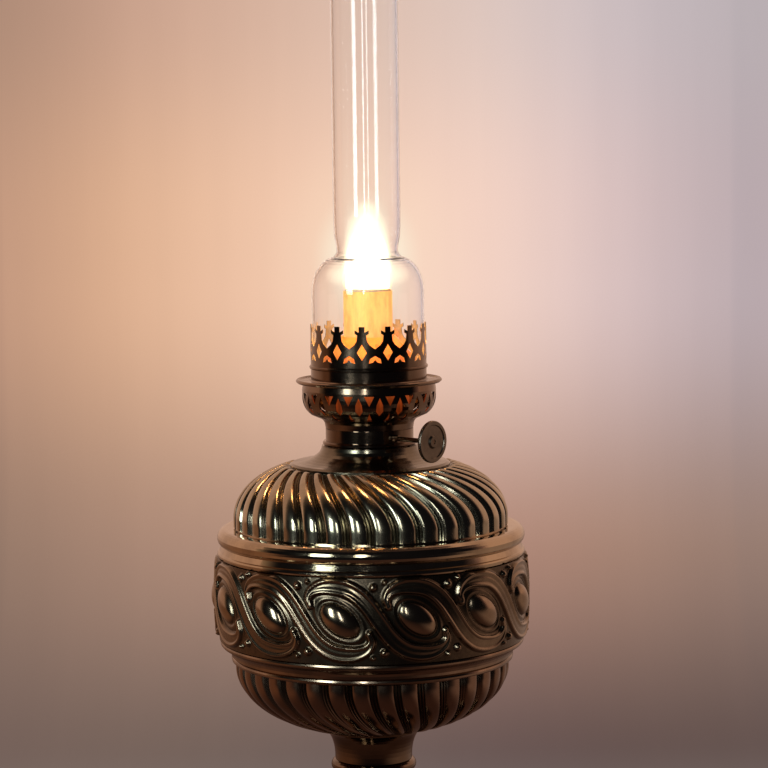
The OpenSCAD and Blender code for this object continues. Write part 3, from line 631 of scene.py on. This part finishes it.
@dataclass
class Turning:
    """A closed outline spun about the lamp's axis into one piece."""

    name: str
    outline: Sequence[Point]  # radius and height in millimetres
    finish: Finish
    body: str
    nodes: Sequence[str]  # the frame nodes it stands for
    slot: str  # the record's material slot
    steps: int = 160  # in one sector
    sectors: int = 1  # equal ones round the axis
    crease: float = 38.0  # degrees above which an edge stays sharp

    def build(self, shape: Optional[Shaper] = None) -> bpy.types.Object:
        """Spins one sector of the outline, shapes it and repeats it round the axis.

        Args:
            shape: Changes the first sector's mesh before it is repeated.

        Returns:
            The piece.
        """
        mesh = bmesh.new()
        verts = [mesh.verts.new((r * MM, 0.0, z * MM)) for r, z in self.outline]
        rim = [mesh.edges.new(pair) for pair in zip(verts, verts[1:] + verts[:1])]
        bmesh.ops.spin(
            mesh, geom=verts + rim, axis=AXIS_UP, cent=ORIGIN,
            angle=math.tau / self.sectors, steps=self.steps, use_merge=self.sectors == 1,
        )
        if shape:
            shape(mesh)
        first = [*mesh.verts, *mesh.edges, *mesh.faces]
        for i in range(1, self.sectors):
            copy = bmesh.ops.duplicate(mesh, geom=first)["geom"]
            about_axis(mesh, math.tau * i / self.sectors, copy)
        bmesh.ops.remove_doubles(mesh, verts=mesh.verts, dist=WELD)
        return self._place(mesh)

    def _place(self, mesh: bmesh.types.BMesh) -> bpy.types.Object:
        """Turns the finished mesh into a dressed piece that rides on its body.

        Args:
            mesh: The mesh, which is freed.

        Returns:
            The piece.
        """
        bmesh.ops.recalc_face_normals(mesh, faces=mesh.faces)
        piece = as_object(self.name, mesh, self.finish.material)
        piece.data.set_sharp_from_angle(angle=math.radians(self.crease))
        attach(piece, self.body)
        if self.nodes:
            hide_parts(*self.nodes)
        LOG.info("%s: %d faces on %s", self.name, len(piece.data.polygons), self.body)
        return piece


def as_object(
    name: str, mesh: bmesh.types.BMesh, material: bpy.types.Material
) -> bpy.types.Object:
    """Turns a bmesh into a smooth object at the origin.

    Args:
        name: The object's name.
        mesh: The mesh, which is freed.
        material: Its material.

    Returns:
        The object, in the scene.
    """
    data = bpy.data.meshes.new(name)
    mesh.to_mesh(data)
    mesh.free()
    data.shade_smooth()
    data.materials.append(material)
    item = bpy.data.objects.new(name, data)
    bpy.context.scene.collection.objects.link(item)
    return item


def dress(finish: Finish, *nodes: str) -> None:
    """Gives frame nodes their finish.

    Args:
        finish: The finish.
        nodes: The nodes' names.
    """
    for node in nodes:
        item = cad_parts[node]
        item.data.materials.clear()
        item.data.materials.append(finish.material)
        LOG.info("%s: dressed in %s", node, finish.value.name)


def heights(node: str) -> tuple[float, float]:
    """A frame node's lowest and highest point in millimetres."""
    low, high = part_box(node)
    return low.z / MM, high.z / MM


def reach(node: str) -> float:
    """A frame node's outer radius in millimetres."""
    low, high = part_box(node)
    return (high.x - low.x) / 2.0 / MM


# ---- the font ----


def smooth(x: float, low: float, high: float) -> float:
    """A smooth step from 0 at low to 1 at high."""
    t = min(1.0, max(0.0, (x - low) / (high - low)))
    return t * t * (3.0 - 2.0 * t)


def hump(x: float, width: float) -> float:
    """A bell of height 1 and the given width about 0."""
    return math.exp(-((x / width) ** 2))


@dataclass
class FlutedShell:
    """An embossed shell whose flutes start upright at the rim and swirl towards the other end."""

    name: str
    node: str
    path: list[Point]  # the outer face, upwards
    rim_first: bool  # the path starts at the rim
    twist: float  # degrees turned at the far end
    finish: Finish = Finish.EMBOSSED
    flutes: int = 36
    samples: int = 16  # steps across one flute
    depth: float = 1.5
    wall: float = 0.8
    groove: float = 0.37  # half a flute's round back, as a share of its pitch
    back: float = 0.92  # height of the round back, as a share of the depth
    ridge: float = 0.62  # height of the pair of ridges, likewise
    ridge_place: float = 0.062  # from the flute's edge, as a share of its pitch
    ridge_width: float = 0.028
    fade: Span = (0.93, 0.995)  # where along a flute it dies away
    crease: float = 60.0

    def relief(self, phase: float, along: float) -> float:
        """Height of the embossing in millimetres.

        Args:
            phase: Place across one flute, 0 to 1, with its pair of ridges at 0.
            along: Place along the flute, 0 at the rim to 1.

        Returns:
            The height over the ground.
        """
        across = abs((phase + 0.5) % 1.0 - 0.5)
        lobe = math.sqrt(max(0.0, 1.0 - ((0.5 - across) / self.groove) ** 2))
        ridges = self.ridge * hump(across - self.ridge_place, self.ridge_width)
        return self.depth * (1.0 - smooth(along, *self.fade)) * max(lobe * self.back, ridges)

    def emboss(self, mesh: bmesh.types.BMesh) -> None:
        """Pushes the outer skin out by the flutes' relief and twists it.

        Args:
            mesh: One flute's sector of the shell.
        """
        last = len(self.path) - 1
        ring = {}
        for i, (r, z) in enumerate(self.path):
            dr, dz = slope(self.path, i)
            along = i / last if self.rim_first else 1.0 - i / last
            ring[(round(r, 3), round(z, 3))] = ((dz, -dr), along)
        layer = mesh.verts.layers.float.new("relief")
        for vert in mesh.verts:
            radius = math.hypot(vert.co.x, vert.co.y)
            found = self._nearest(ring, (round(radius / MM, 3), round(vert.co.z / MM, 3)))
            if not found:
                continue
            (out_r, out_z), along = found
            angle = math.atan2(vert.co.y, vert.co.x)
            height = self.relief(angle / math.tau * self.flutes % 1.0, along)
            angle += math.radians(self.twist) * along**2
            radius += height * out_r * MM
            rise = height * out_z * MM if along > 0.0 else 0.0
            vert.co = (radius * math.cos(angle), radius * math.sin(angle), vert.co.z + rise)
            vert[layer] = height / self.depth

    def _nearest(self, ring: dict[Point, Any], key: Point) -> Any:
        """The outer ring at a place, give or take the last digit.

        Args:
            ring: The rings by radius and height.
            key: The place.

        Returns:
            The ring's direction and its place along the flute, or None.
        """
        for step_r in (0.0, -0.001, 0.001):
            for step_z in (0.0, -0.001, 0.001):
                found = ring.get((round(key[0] + step_r, 3), round(key[1] + step_z, 3)))
                if found:
                    return found
        return None

    def build(self) -> bpy.types.Object:
        """Makes the shell.

        Returns:
            The piece.
        """
        turning = Turning(
            self.name, walled(self.path, self.wall), self.finish, "lamp_base", [self.node],
            BRASS_SLOT, steps=self.samples, sectors=self.flutes, crease=self.crease,
        )
        return turning.build(self.emboss)


@dataclass
class RibbonBand:
    """The drum of the font: tilted domes in a running ribbon, with pearls between."""

    repeats: int = 13
    columns: int = 72  # steps across one repeat
    rows: int = 90  # steps up the drum
    turn: float = -101.5  # degrees from +X to the first dome
    barrel: float = 0.8  # bulge of the ground
    wall: float = 2.2
    slack: float = 0.1  # depth under the ground that is still outer skin
    crease: float = 75.0
    moulding_overhang: float = 0.4  # of the upper moulding over the ground
    centre_lift: float = 0.8  # of the domes over the drum's middle
    edge: Span = (0.1, 0.9)  # from the drum's edge, where the relief rises
    dome_long: float = 10.3  # half-length
    dome_short: float = 6.4  # half-width
    dome_tilt: float = -38.0
    dome_height: float = 3.3
    dome_full: float = 0.6  # below 1 for a fuller dome
    rim: tuple[float, float, float] = (0.55, 1.2, 0.75)  # height, place and width round a dome
    pearl_height: float = 1.9
    ribbon_half: float = 3.6  # half-width
    ribbon_tip: float = 1.3  # half-width at its ends
    ribbon_taper: float = 0.24  # share of its length
    ribbon_height: float = 1.05
    ribbon_edge: Span = (-0.4, 0.7)  # about its half-width, where it falls off
    ribbon_margin: float = 6.0  # past its ends, where it still counts
    cord_height: float = 0.7  # of the cord on each edge
    cord_width: float = 0.72
    cord_inset: float = 0.8
    middle_cord: float = 0.22  # share of an edge cord
    middle_width: float = 0.8
    full_relief: float = 2.2  # clear of dirt and painted shade
    curl: Sequence[Point] = (  # middle line, pearl to mid-way
        (-13.3, 6.6), (-14.3, 9.6), (-12.3, 13.0), (-7.6, 15.0), (-1.8, 15.2), (4.2, 13.9),
        (9.2, 10.7), (13.2, 6.4), (15.6, 3.0),
    )
    curl_steps: int = 6  # between two points
    pearls: Sequence[tuple[float, float, float]] = (  # place and radius
        (-13.3, 6.0, 1.6), (15.3, 14.8, 1.8), (20.4, 17.0, 1.1),
    )

    def __post_init__(self) -> None:
        """Works out the drum's radius and the width of one repeat in millimetres."""
        self.ground = reach("upper_moulding") - self.moulding_overhang
        self.pitch = math.tau * (self.ground + self.barrel) / self.repeats

    def ribbon_path(self) -> list[Point]:
        """The ribbon's middle line from one pearl to the next, smooth and point-symmetric.

        Returns:
            The line's points.
        """
        turned = [(self.pitch - x, -y) for x, y in reversed(self.curl)]
        points = [*self.curl, (self.pitch / 2.0, 0.0), *turned]
        last = len(points) - 1
        path: list[Point] = []
        for i in range(last):
            p = [points[max(i - 1, 0)], points[i], points[i + 1], points[min(i + 2, last)]]
            for k in range(self.curl_steps):
                share = k / self.curl_steps
                path.append(tuple(self._spline(share, [q[a] for q in p]) for a in (0, 1)))
        return path + [points[-1]]

    @staticmethod
    def _spline(t: float, p: Sequence[float]) -> float:
        """A smooth curve through four numbers.

        Args:
            t: Place between the second and the third number, 0 to 1.
            p: The numbers.

        Returns:
            The curve's value.
        """
        bend = (2 * p[0] - 5 * p[1] + 4 * p[2] - p[3]) * t * t
        sway = (3 * p[1] - p[0] - 3 * p[2] + p[3]) * t**3
        return 0.5 * (2 * p[1] + (p[2] - p[0]) * t + bend + sway)

    def height(self, x: float, y: float, path: Sequence[Point]) -> float:
        """Height of the relief in millimetres.

        Args:
            x: Place along one repeat from a dome's centre.
            y: Height over the domes' centres.
            path: The ribbon's middle line.

        Returns:
            The height over the ground.
        """
        found = [self._ribbon(x - shift * self.pitch, y, path) for shift in (-2, -1, 0, 1)]
        for shift in (-1, 0, 1):
            u = x - shift * self.pitch
            found.append(self._dome(u, y))
            for px, py, size in self.pearls:
                found.append(self._pearl(u - px, y - py, size))
                found.append(self._pearl(u - self.pitch + px, y + py, size))
        return max(found)

    def _dome(self, x: float, y: float) -> float:
        """The smooth tilted dome, with a low rim round it.

        Args:
            x: Place along the band from the dome's centre.
            y: Height over the dome's centre.

        Returns:
            The dome's height there.
        """
        a = math.radians(self.dome_tilt)
        u, v = x * math.cos(a) + y * math.sin(a), -x * math.sin(a) + y * math.cos(a)
        d = math.hypot(u / self.dome_long, v / self.dome_short)
        if d < 1.0:
            return self.dome_height * (1.0 - d * d) ** self.dome_full
        height, place, width = self.rim
        return height * hump((d - place) * self.dome_short, width)

    def _pearl(self, x: float, y: float, size: float) -> float:
        """A small ball half sunk in the ground."""
        d = math.hypot(x, y) / size
        return self.pearl_height * math.sqrt(max(0.0, 1.0 - d * d))

    def _ribbon(self, x: float, y: float, path: Sequence[Point]) -> float:
        """The ribbon: a raised cord along each edge and a low one in its middle.

        Args:
            x: Place along one repeat.
            y: Height over the domes' centres.
            path: The ribbon's middle line.

        Returns:
            The ribbon's height there.
        """
        if not path[0][0] - self.ribbon_margin < x < path[-1][0] + self.ribbon_margin:
            return 0.0
        near, place = math.inf, 0.0
        for i in range(len(path) - 1):
            (ax, ay), (bx, by) = path[i], path[i + 1]
            dx, dy = bx - ax, by - ay
            t = min(1.0, max(0.0, ((x - ax) * dx + (y - ay) * dy) / (dx * dx + dy * dy)))
            d = math.hypot(x - ax - t * dx, y - ay - t * dy)
            if d < near:
                near, place = d, (i + t) / (len(path) - 1)
        wider = smooth(min(place, 1.0 - place), 0.0, self.ribbon_taper)
        half = self.ribbon_tip + (self.ribbon_half - self.ribbon_tip) * wider
        body = 1.0 - smooth(near - half, *self.ribbon_edge)
        cords = hump(near - half + self.cord_inset, self.cord_width)
        cords += self.middle_cord * hump(near, self.middle_width)
        return body * (self.ribbon_height + self.cord_height * cords)

    def emboss(self, mesh: bmesh.types.BMesh) -> None:
        """Pushes the first repeat's outer skin out by the ornament and turns it to its place.

        Args:
            mesh: One repeat of the drum.
        """
        low, high = heights("font_band")
        mid = (low + high) / 2.0 + self.centre_lift
        path = self.ribbon_path()
        layer = mesh.verts.layers.float.new("relief")
        for vert in mesh.verts:
            radius = math.hypot(vert.co.x, vert.co.y)
            if radius < (self.ground - self.slack) * MM:
                continue
            z = vert.co.z / MM
            edge = smooth(z - low, *self.edge) * smooth(high - z, *self.edge)
            x = math.atan2(vert.co.y, vert.co.x) / math.tau * self.repeats * self.pitch
            height = edge * self.height(x, z - mid, path)
            gain = 1.0 + height * MM / radius
            vert.co.x *= gain
            vert.co.y *= gain
            vert[layer] = min(1.0, height / self.full_relief)
        about_axis(mesh, math.radians(self.turn), mesh.verts)

    def build(self) -> bpy.types.Object:
        """Makes the band.

        Returns:
            The piece.
        """
        low, high = heights("font_band")
        shares = [i / self.rows for i in range(self.rows + 1)]
        outer = [
            (self.ground + self.barrel * math.sin(math.pi * share), low + (high - low) * share)
            for share in shares
        ]
        inner = [(self.ground - self.wall, high), (self.ground - self.wall, low)]
        turning = Turning(
            "ribbon_band", outer + inner, Finish.BAND, "lamp_base", ["font_band"],
            BRASS_SLOT, steps=self.columns, sectors=self.repeats, crease=self.crease,
        )
        return turning.build(self.emboss)


@dataclass
class Font:
    """The embossed font: bowl, band and dome."""

    foot_radius: float = 21.4  # of the bowl on the stem
    bowl_centre: float = 12.6  # how far inside it the curve is centred
    bowl_lip: float = 2.5  # upright at the rim
    mouth: float = 37.5  # radius of the dome at the neck
    dome_centre: float = 14.0  # how far inside it the curve is centred
    dome_side: float = 4.6  # upright at the foot
    relief_room: float = 0.5  # inside the frame's shells
    twist: float = 24.0
    steps: int = 60

    def build(self) -> None:
        """Makes the three embossed shells and dresses the rest of the font."""
        self._dome()
        self._bowl()
        RibbonBand().build()
        dress(Finish.SPUN, "upper_moulding", "font_collar")
        dress(Finish.RING, "lower_moulding")
        dress(Finish.NECK, "font_neck")
        dress(Finish.TIN, "tank_floor", "tank_side", "tank_top")

    def _dome(self) -> None:
        """Makes the fluted dome from its foot up to the neck."""
        low, high = heights("font_dome")
        foot = reach("font_dome") - self.relief_room
        centre, side = self.mouth - self.dome_centre, self.dome_side
        end = math.degrees(math.acos(self.dome_centre / (foot - centre)))
        rz = (high - low - side) / math.sin(math.radians(end))
        curve = arc((centre, low + side), foot - centre, rz, 0.0, end, self.steps)
        path = [(foot, low), (foot, low + side / 2.0), *curve]
        FlutedShell("fluted_dome", "font_dome", path, True, -self.twist).build()

    def _bowl(self) -> None:
        """Makes the fluted bowl from the stem up to its rim."""
        low, high = heights("font_bowl")
        rim = reach("font_bowl") - self.relief_room
        centre, top = self.foot_radius - self.bowl_centre, high - self.bowl_lip
        start = -math.degrees(math.acos(self.bowl_centre / (rim - centre)))
        rz = (top - low) / math.sin(math.radians(-start))
        path = [*arc((centre, top), rim - centre, rz, start, 0.0, self.steps), (rim, high)]
        FlutedShell("fluted_bowl", "font_bowl", path, False, self.twist, Finish.BOWL).build()


# ---- the stem and foot ----


@dataclass
class Support:
    """The stem and foot."""

    def build(self) -> None:
        """Dresses the stem, the foot and what is inside them."""
        dress(Finish.STEM, "stem_trumpet", "stem_vase", "stem_column", "foot_shell")
        dress(Finish.STEM, "stem_upper_ring", "stem_lower_ring")
        dress(Finish.STEEL, "tie_rod", "tie_rod_nuts", "tie_rod_washer", "base_plate")
        dress(Finish.IRON, "foot_weight")
        dress(Finish.FELT, "felt_pad")


# ---- the burner, flame and gallery ----

# Outlines from the foot up, with radius and height as shares.
FLAME_SHAPE: Sequence[Point] = (
    (0.8, 0.0), (0.97, 0.06), (1.0, 0.2), (0.95, 0.42), (0.82, 0.62), (0.62, 0.79),
    (0.4, 0.915), (0.2, 0.98), (0.0, 1.0),
)
HALO_SHAPE: Sequence[Point] = (
    (0.6, 0.0), (0.87, 0.04), (0.98, 0.12), (0.97, 0.21), (0.78, 0.31), (0.6, 0.4),
    (0.55, 0.55), (0.46, 0.75), (0.26, 0.93), (0.0, 1.0),
)


@dataclass(frozen=True)
class GasSkin:
    """One skin of glowing gas over the wick, hollow below to leave the raised wick its room."""

    name: str
    finish: Finish
    radius: float
    height: float
    inset: float  # of its underside and hollow from the widest skin's
    shape: Sequence[Point] = FLAME_SHAPE
    wick_gap: float = 0.2  # over the resting wick
    wick_room: float = 11.0  # radius of the hollow
    wick_rise: float = 6.9  # height of the hollow
    widening: float = 0.6  # share of the inset by which the hollow widens
    corner: Span = (0.4, 0.3)  # across and down, keeps the hollow's corners crisp
    least_wall: float = 0.35  # at the foot
    steps: int = 48

    def build(self) -> None:
        """Makes the skin, which rides on the burner."""
        foot = heights("wick")[1] + self.wick_gap + self.inset
        inside, roof = self.wick_room + self.inset * self.widening, foot + self.wick_rise
        across, down = self.corner
        hollow = [
            (0.0, roof), (inside - across, roof), (inside, roof), (inside, roof - down),
            (inside, foot + down), (inside, foot),
        ]
        outside = [(max(self.shape[0][0] * self.radius, inside + self.least_wall), foot)]
        outside += [(r * self.radius, foot + h * self.height) for r, h in self.shape[1:]]
        turning = Turning(
            self.name, hollow + outside, self.finish, "burner", [], FLAME_SLOT, self.steps
        )
        piece = turning.build()
        piece.visible_shadow = False
        smoother = piece.modifiers.new("smoother", "SUBSURF")
        smoother.levels = smoother.render_levels = 2


@dataclass
class Burner:
    """The burner, its wick winder and the flame."""

    flame: Sequence[GasSkin] = (
        GasSkin("flame", Finish.FLAME, 12.0, 31.0, 0.4),
        GasSkin("flame_veil", Finish.VEIL, 12.6, 36.0, 0.2),
        GasSkin("flame_halo", Finish.HALO, 20.5, 42.0, 0.0, HALO_SHAPE),
    )

    def build(self) -> None:
        """Dresses the burner and makes the flame."""
        dress(Finish.BURNER, "wick_tube", "air_tube", "wick_guide", "star_wheels")
        dress(Finish.GALLERY, "burner_base", "spindle_bushes", "wick_spindle")
        dress(Finish.KNOB, "wick_knob")
        dress(Finish.COTTON, "wick")
        for skin in self.flame:
            skin.build()


@dataclass
class Gallery:
    """The pierced gallery and the glass it holds."""

    def build(self) -> None:
        """Dresses the gallery and the chimney."""
        dress(Finish.GALLERY, "air_basket")
        dress(Finish.CROWN, "gallery_crown")
        dress(Finish.CONE, "air_cone")
        dress(Finish.RING, "shade_ring")
        dress(Finish.GLASS, "chimney")


# ---- the studio ----

PALE_FLOOR: Colour = (0.62, 0.55, 0.50)
DARK_ROOM: Colour = (0.009, 0.009, 0.012)


@dataclass(frozen=True)
class SoftLamp:
    """A soft rectangular lamp that faces the font."""

    name: str
    azimuth: float  # degrees from the camera's side, rightwards
    distance: float  # metres from the axis
    height: float  # of its middle
    width: float
    tall: float  # from edge to edge
    power: float  # watts
    colour: Colour
    aim: float = 0.25  # height that it faces

    def build(self) -> None:
        """Hangs the lamp in its place."""
        data = bpy.data.lights.new(self.name, "AREA")
        data.shape = "RECTANGLE"
        data.size, data.size_y = self.width, self.tall
        data.energy, data.color = self.power, self.colour
        panel = bpy.data.objects.new(self.name, data)
        a = math.radians(self.azimuth)
        panel.location = (self.distance * math.sin(a), -self.distance * math.cos(a), self.height)
        away = panel.location - Vector((0.0, 0.0, self.aim))
        panel.rotation_mode = "QUATERNION"
        panel.rotation_quaternion = away.to_track_quat("Z", "Y")
        bpy.context.scene.collection.objects.link(panel)


@dataclass
class Backdrop:
    """A pale floor that curves up into a wall and is seen only from its front.

    Its paper shows the camera painted light and shade: the wall darker low down and at the sides
    and brightest at the flame's height, the flame's painted glow, and the lamp's painted shadow
    on the floor. Metal and glass find other, plainer colours in it, which turn dark in front of
    the lamp.
    """

    front: float = -2.5  # Y of the floor's front edge
    wall: float = 0.62  # Y of the wall
    bend: float = 0.22
    bend_steps: int = 9
    top: float = 3.0
    half: float = 8.0  # half the width
    span: float = 0.27  # half the width that the colours cover
    places: Sequence[float] = (0.02, 0.2, 0.44, 0.65, 0.81, 0.98)  # of the colours across it
    rows: Sequence[Sequence[Colour]] = (  # painted light and shade across the wall, lowest row first: darker low down and at the sides, brightest at the flame's height
        (
            (0.158, 0.108, 0.094), (0.162, 0.116, 0.098), (0.132, 0.097, 0.089),
            (0.108, 0.074, 0.073), (0.102, 0.069, 0.066), (0.108, 0.074, 0.068),
        ),
        (
            (0.30, 0.19, 0.14), (0.41, 0.25, 0.18), (0.46, 0.28, 0.21),
            (0.45, 0.25, 0.19), (0.41, 0.245, 0.18), (0.32, 0.21, 0.17),
        ),
        (
            (0.52, 0.30, 0.205), (0.76, 0.45, 0.28), (0.93, 0.62, 0.46),
            (0.93, 0.67, 0.56), (0.72, 0.55, 0.54), (0.49, 0.40, 0.42),
        ),
        (
            (0.40, 0.245, 0.175), (0.60, 0.36, 0.26), (0.72, 0.49, 0.38),
            (0.75, 0.59, 0.53), (0.61, 0.52, 0.54), (0.49, 0.43, 0.45),
        ),
    )
    # heights between the rows
    row_spans: Sequence[Span] = ((-0.02, 0.155), (0.117, 0.322), (0.36, 0.53))
    floor_depth: Span = (0.1, 0.5)  # Y from floor to wall
    floor_height: Span = (0.0, 0.05)  # Z from floor to wall
    glow_z: float = 0.337  # height of the flame's glow on the wall
    glow_squash: float = 0.78
    glows: Sequence[tuple[Colour, float, Span]] = (  # colour, strength and radii
        ((1.0, 0.80, 0.58), 0.3, (0.012, 0.085)),
        ((1.0, 0.96, 0.76), 0.6, (0.016, 0.042)),
    )
    shade_reach: float = 0.3  # of the lamp's painted shadow on the floor
    shade_top: float = 0.004
    shade_depth: float = 0.8
    mirror_floor: Sequence[Colour] = (  # middle, right and left
        (0.10, 0.052, 0.038), (0.38, 0.26, 0.20), (0.30, 0.15, 0.085),
    )
    mirror_sides: Span = (0.14, 0.4)  # X from middle to side
    mirror_front: Span = (-0.6, -0.1)  # Y from dark to lit
    mirror_rise: Span = (0.02, 0.3)  # Z from floor to wall
    mirror_wall: Colour = (0.72, 0.46, 0.34)
    mirror_glass: Colour = (0.97, 0.72, 0.58)
    paper: Colour = (0.6, 0.52, 0.48)  # what lights the lamp
    threads: Span = (900.0, 0.05)  # per metre, and their strength
    folds: Sequence[float] = (45.0, 0.0, 2.5)  # per metre along each axis
    fold_strength: float = 0.05

    def build(self) -> None:
        """Makes the backdrop."""
        mesh = bmesh.new()
        centre = (self.wall - self.bend, self.bend)
        curve = arc(centre, self.bend, self.bend, -90.0, 0.0, self.bend_steps)
        outline = [(self.front, 0.0), *curve, (self.wall, self.top)]
        verts = [mesh.verts.new((-self.half, y, z)) for y, z in outline]
        edges = [mesh.edges.new(pair) for pair in zip(verts, verts[1:])]
        wide = bmesh.ops.extrude_edge_only(mesh, edges=edges)["geom"]
        moved = [part for part in wide if isinstance(part, bmesh.types.BMVert)]
        bmesh.ops.translate(mesh, vec=(2.0 * self.half, 0.0, 0.0), verts=moved)
        as_object("sweep", mesh, self._material())

    def _material(self) -> bpy.types.Material:
        """Makes the paper.

        Returns:
            The material.
        """
        g = Graph.material("sweep_paper")
        paper = g.make("ShaderNodeBsdfDiffuse", {}, (*self.paper, 1.0))
        front = g.mixed(g.ray("Is Glossy Ray"), paper, self._mirrored(g))
        front = g.mixed(g.ray("Is Camera Ray", "Is Transmission Ray"), front, self._seen(g))
        behind = g.out("ShaderNodeNewGeometry", "Backfacing")
        return g.finish(g.mixed(behind, front, g.make("ShaderNodeBsdfTransparent", {})))

    def _seen(self, g: Graph) -> Signal:
        """What the camera sees: the wall's painted light and shade, the flame's painted glow and
        the lamp's painted shadow.

        Args:
            g: The paper's graph.

        Returns:
            The shader.
        """
        x, y, z = g.axes()
        across = (x * (0.5 / self.span) + 0.5).clamped()
        # The wall's colours are painted light and shade, row by row.
        ramps = [g.ramp(across, tuple(zip(self.places, row))) for row in self.rows]
        wall = ramps[0]
        for ramp, span in zip(ramps[1:], self.row_spans):
            wall = g.blend(z.rise(*span), wall, ramp)
        floor = (1.0 - y.rise(*self.floor_depth)) * (1.0 - z.rise(*self.floor_height))
        wall = g.blend(floor, wall, PALE_FLOOR)
        off = (x**2.0 + ((z - self.glow_z) * self.glow_squash) ** 2.0) ** 0.5
        for colour, strength, radii in self.glows:
            wall = g.blend((1.0 - off.rise(*radii)) * strength, wall, colour)
        threads = g.noise(self.threads[0], 2.0) * self.threads[1]
        folds = g.noise(1.0, 2.0, 0.5, at=g.stretched(*self.folds)) * self.fold_strength
        open_air = g.out(
            "ShaderNodeAmbientOcclusion", "AO", {"samples": 8}, Distance=self.shade_reach
        )
        on_floor = 1.0 - z.rise(0.0, self.shade_top)
        shade = ((1.0 - open_air) * on_floor).clamped() * self.shade_depth
        strength = (threads + folds + 0.95) * (1.0 - shade)
        return g.make("ShaderNodeEmission", {}, wall, strength)

    def _mirrored(self, g: Graph) -> Signal:
        """What metal and glass find in the paper.

        Args:
            g: The paper's graph.

        Returns:
            The shader.
        """
        x, y, z = g.axes()
        middle, right, left = self.mirror_floor
        near, far = self.mirror_sides
        floor = g.blend(x.rise(near, far), middle, right)
        floor = g.blend(x.rise(-near, -far), floor, left)
        floor = g.blend(y.rise(*self.mirror_front), DARK_ROOM, floor)
        metal = g.blend(z.rise(*self.mirror_rise), floor, self.mirror_wall)
        colour = g.blend(g.ray("Is Singular Ray"), metal, self.mirror_glass)
        return g.make("ShaderNodeEmission", {}, colour)


@dataclass
class Room:
    """The world: a dim room with bright walls at the sides and behind the lamp."""

    pale: Colour = (0.84, 0.66, 0.60)  # seen high up
    left: Colour = (0.60, 0.41, 0.27)
    right: Colour = (0.60, 0.36, 0.30)
    sides: Span = (-0.4, 0.4)  # X from left to right
    walls: Span = (-0.18, 0.2)  # Y from dark to bright
    overhead: Span = (0.25, 0.75)  # Z where the walls fade
    overhead_fade: float = 0.8
    horizon: Span = (-0.2, 0.5)  # Z from floor to pale

    def build(self) -> None:
        """Makes the world."""
        g = Graph(bpy.data.worlds.new("room"), "Generated")
        x, y, z = g.axes()
        side = g.blend(x.rise(*self.sides), self.left, self.right)
        wall = y.rise(*self.walls) * (1.0 - z.rise(*self.overhead) * self.overhead_fade)
        room = g.blend(wall, DARK_ROOM, side)
        seen = g.blend(z.rise(*self.horizon), PALE_FLOOR, self.pale)
        colour = g.blend(g.ray("Is Camera Ray", "Is Transmission Ray"), room, seen)
        surface = g.make("ShaderNodeBackground", {}, colour)
        bpy.context.scene.world = g.finish(surface, "ShaderNodeOutputWorld")


@dataclass
class Studio:
    """The camera, the lamps, the backdrop and the world."""

    distance: float = 1.17  # from the axis, in metres
    height: float = 0.4137
    tilt: float = 5.35  # degrees down
    turn: float = 0.347  # degrees to the right
    roll: float = 0.716  # degrees
    lens: float = 117.19
    sensor: float = 36.0
    lamps: Sequence[SoftLamp] = (
        SoftLamp("window_left", -38.0, 2.2, 0.9, 0.5, 1.3, 27.0, (0.76, 0.97, 1.0)),
        SoftLamp("window_middle", -7.5, 2.4, 0.9, 0.16, 1.3, 10.0, (0.84, 0.97, 1.0)),
        SoftLamp("lamp_above", 180.0, 0.12, 1.05, 0.16, 0.16, 2.6, (1.0, 0.52, 0.2)),
    )
    flame_power: float = 2.2  # watts
    flame_colour: Colour = (1.0, 0.52, 0.2)
    flame_size: float = 0.006
    flame_over_wick: float = 0.014

    def build(self) -> None:
        """Sets everything round the lamp."""
        self._camera()
        Backdrop().build()
        for lamp in self.lamps:
            lamp.build()
        self._flame_light()
        Room().build()
        bpy.context.scene.view_settings.view_transform = "Standard"

    def _camera(self) -> None:
        """Sets a long lens in front of the lamp, looking slightly down."""
        data = bpy.data.cameras.new("camera")
        data.lens, data.sensor_width = self.lens, self.sensor
        camera = bpy.data.objects.new("camera", data)
        bpy.context.scene.collection.objects.link(camera)
        yaw, pitch = math.radians(self.turn), math.radians(self.tilt)
        level = math.cos(pitch)
        forward = Vector((math.sin(yaw) * level, math.cos(yaw) * level, -math.sin(pitch)))
        look = forward.to_track_quat("-Z", "Y").to_matrix()
        spin = Matrix.Rotation(math.radians(self.roll), 3, forward)
        place = Matrix.Translation((0.0, -self.distance, self.height))
        camera.matrix_world = place @ (spin @ look).to_4x4()
        bpy.context.scene.camera = camera

    def _flame_light(self) -> None:
        """Puts a small warm light inside the flame."""
        data = bpy.data.lights.new("flame_light", "POINT")
        data.energy, data.color = self.flame_power, self.flame_colour
        data.shadow_soft_size = self.flame_size
        light = bpy.data.objects.new("flame_light", data)
        light.location = (0.0, 0.0, heights("wick")[1] * MM + self.flame_over_wick)
        bpy.context.scene.collection.objects.link(light)


def main() -> None:
    """Builds the studio and the lamp."""
    logging.basicConfig(level=logging.INFO, format="%(name)s %(message)s")
    for part in (Studio(), Support(), Font(), Burner(), Gallery()):
        part.build()


if __name__ == "__main__":
    main()
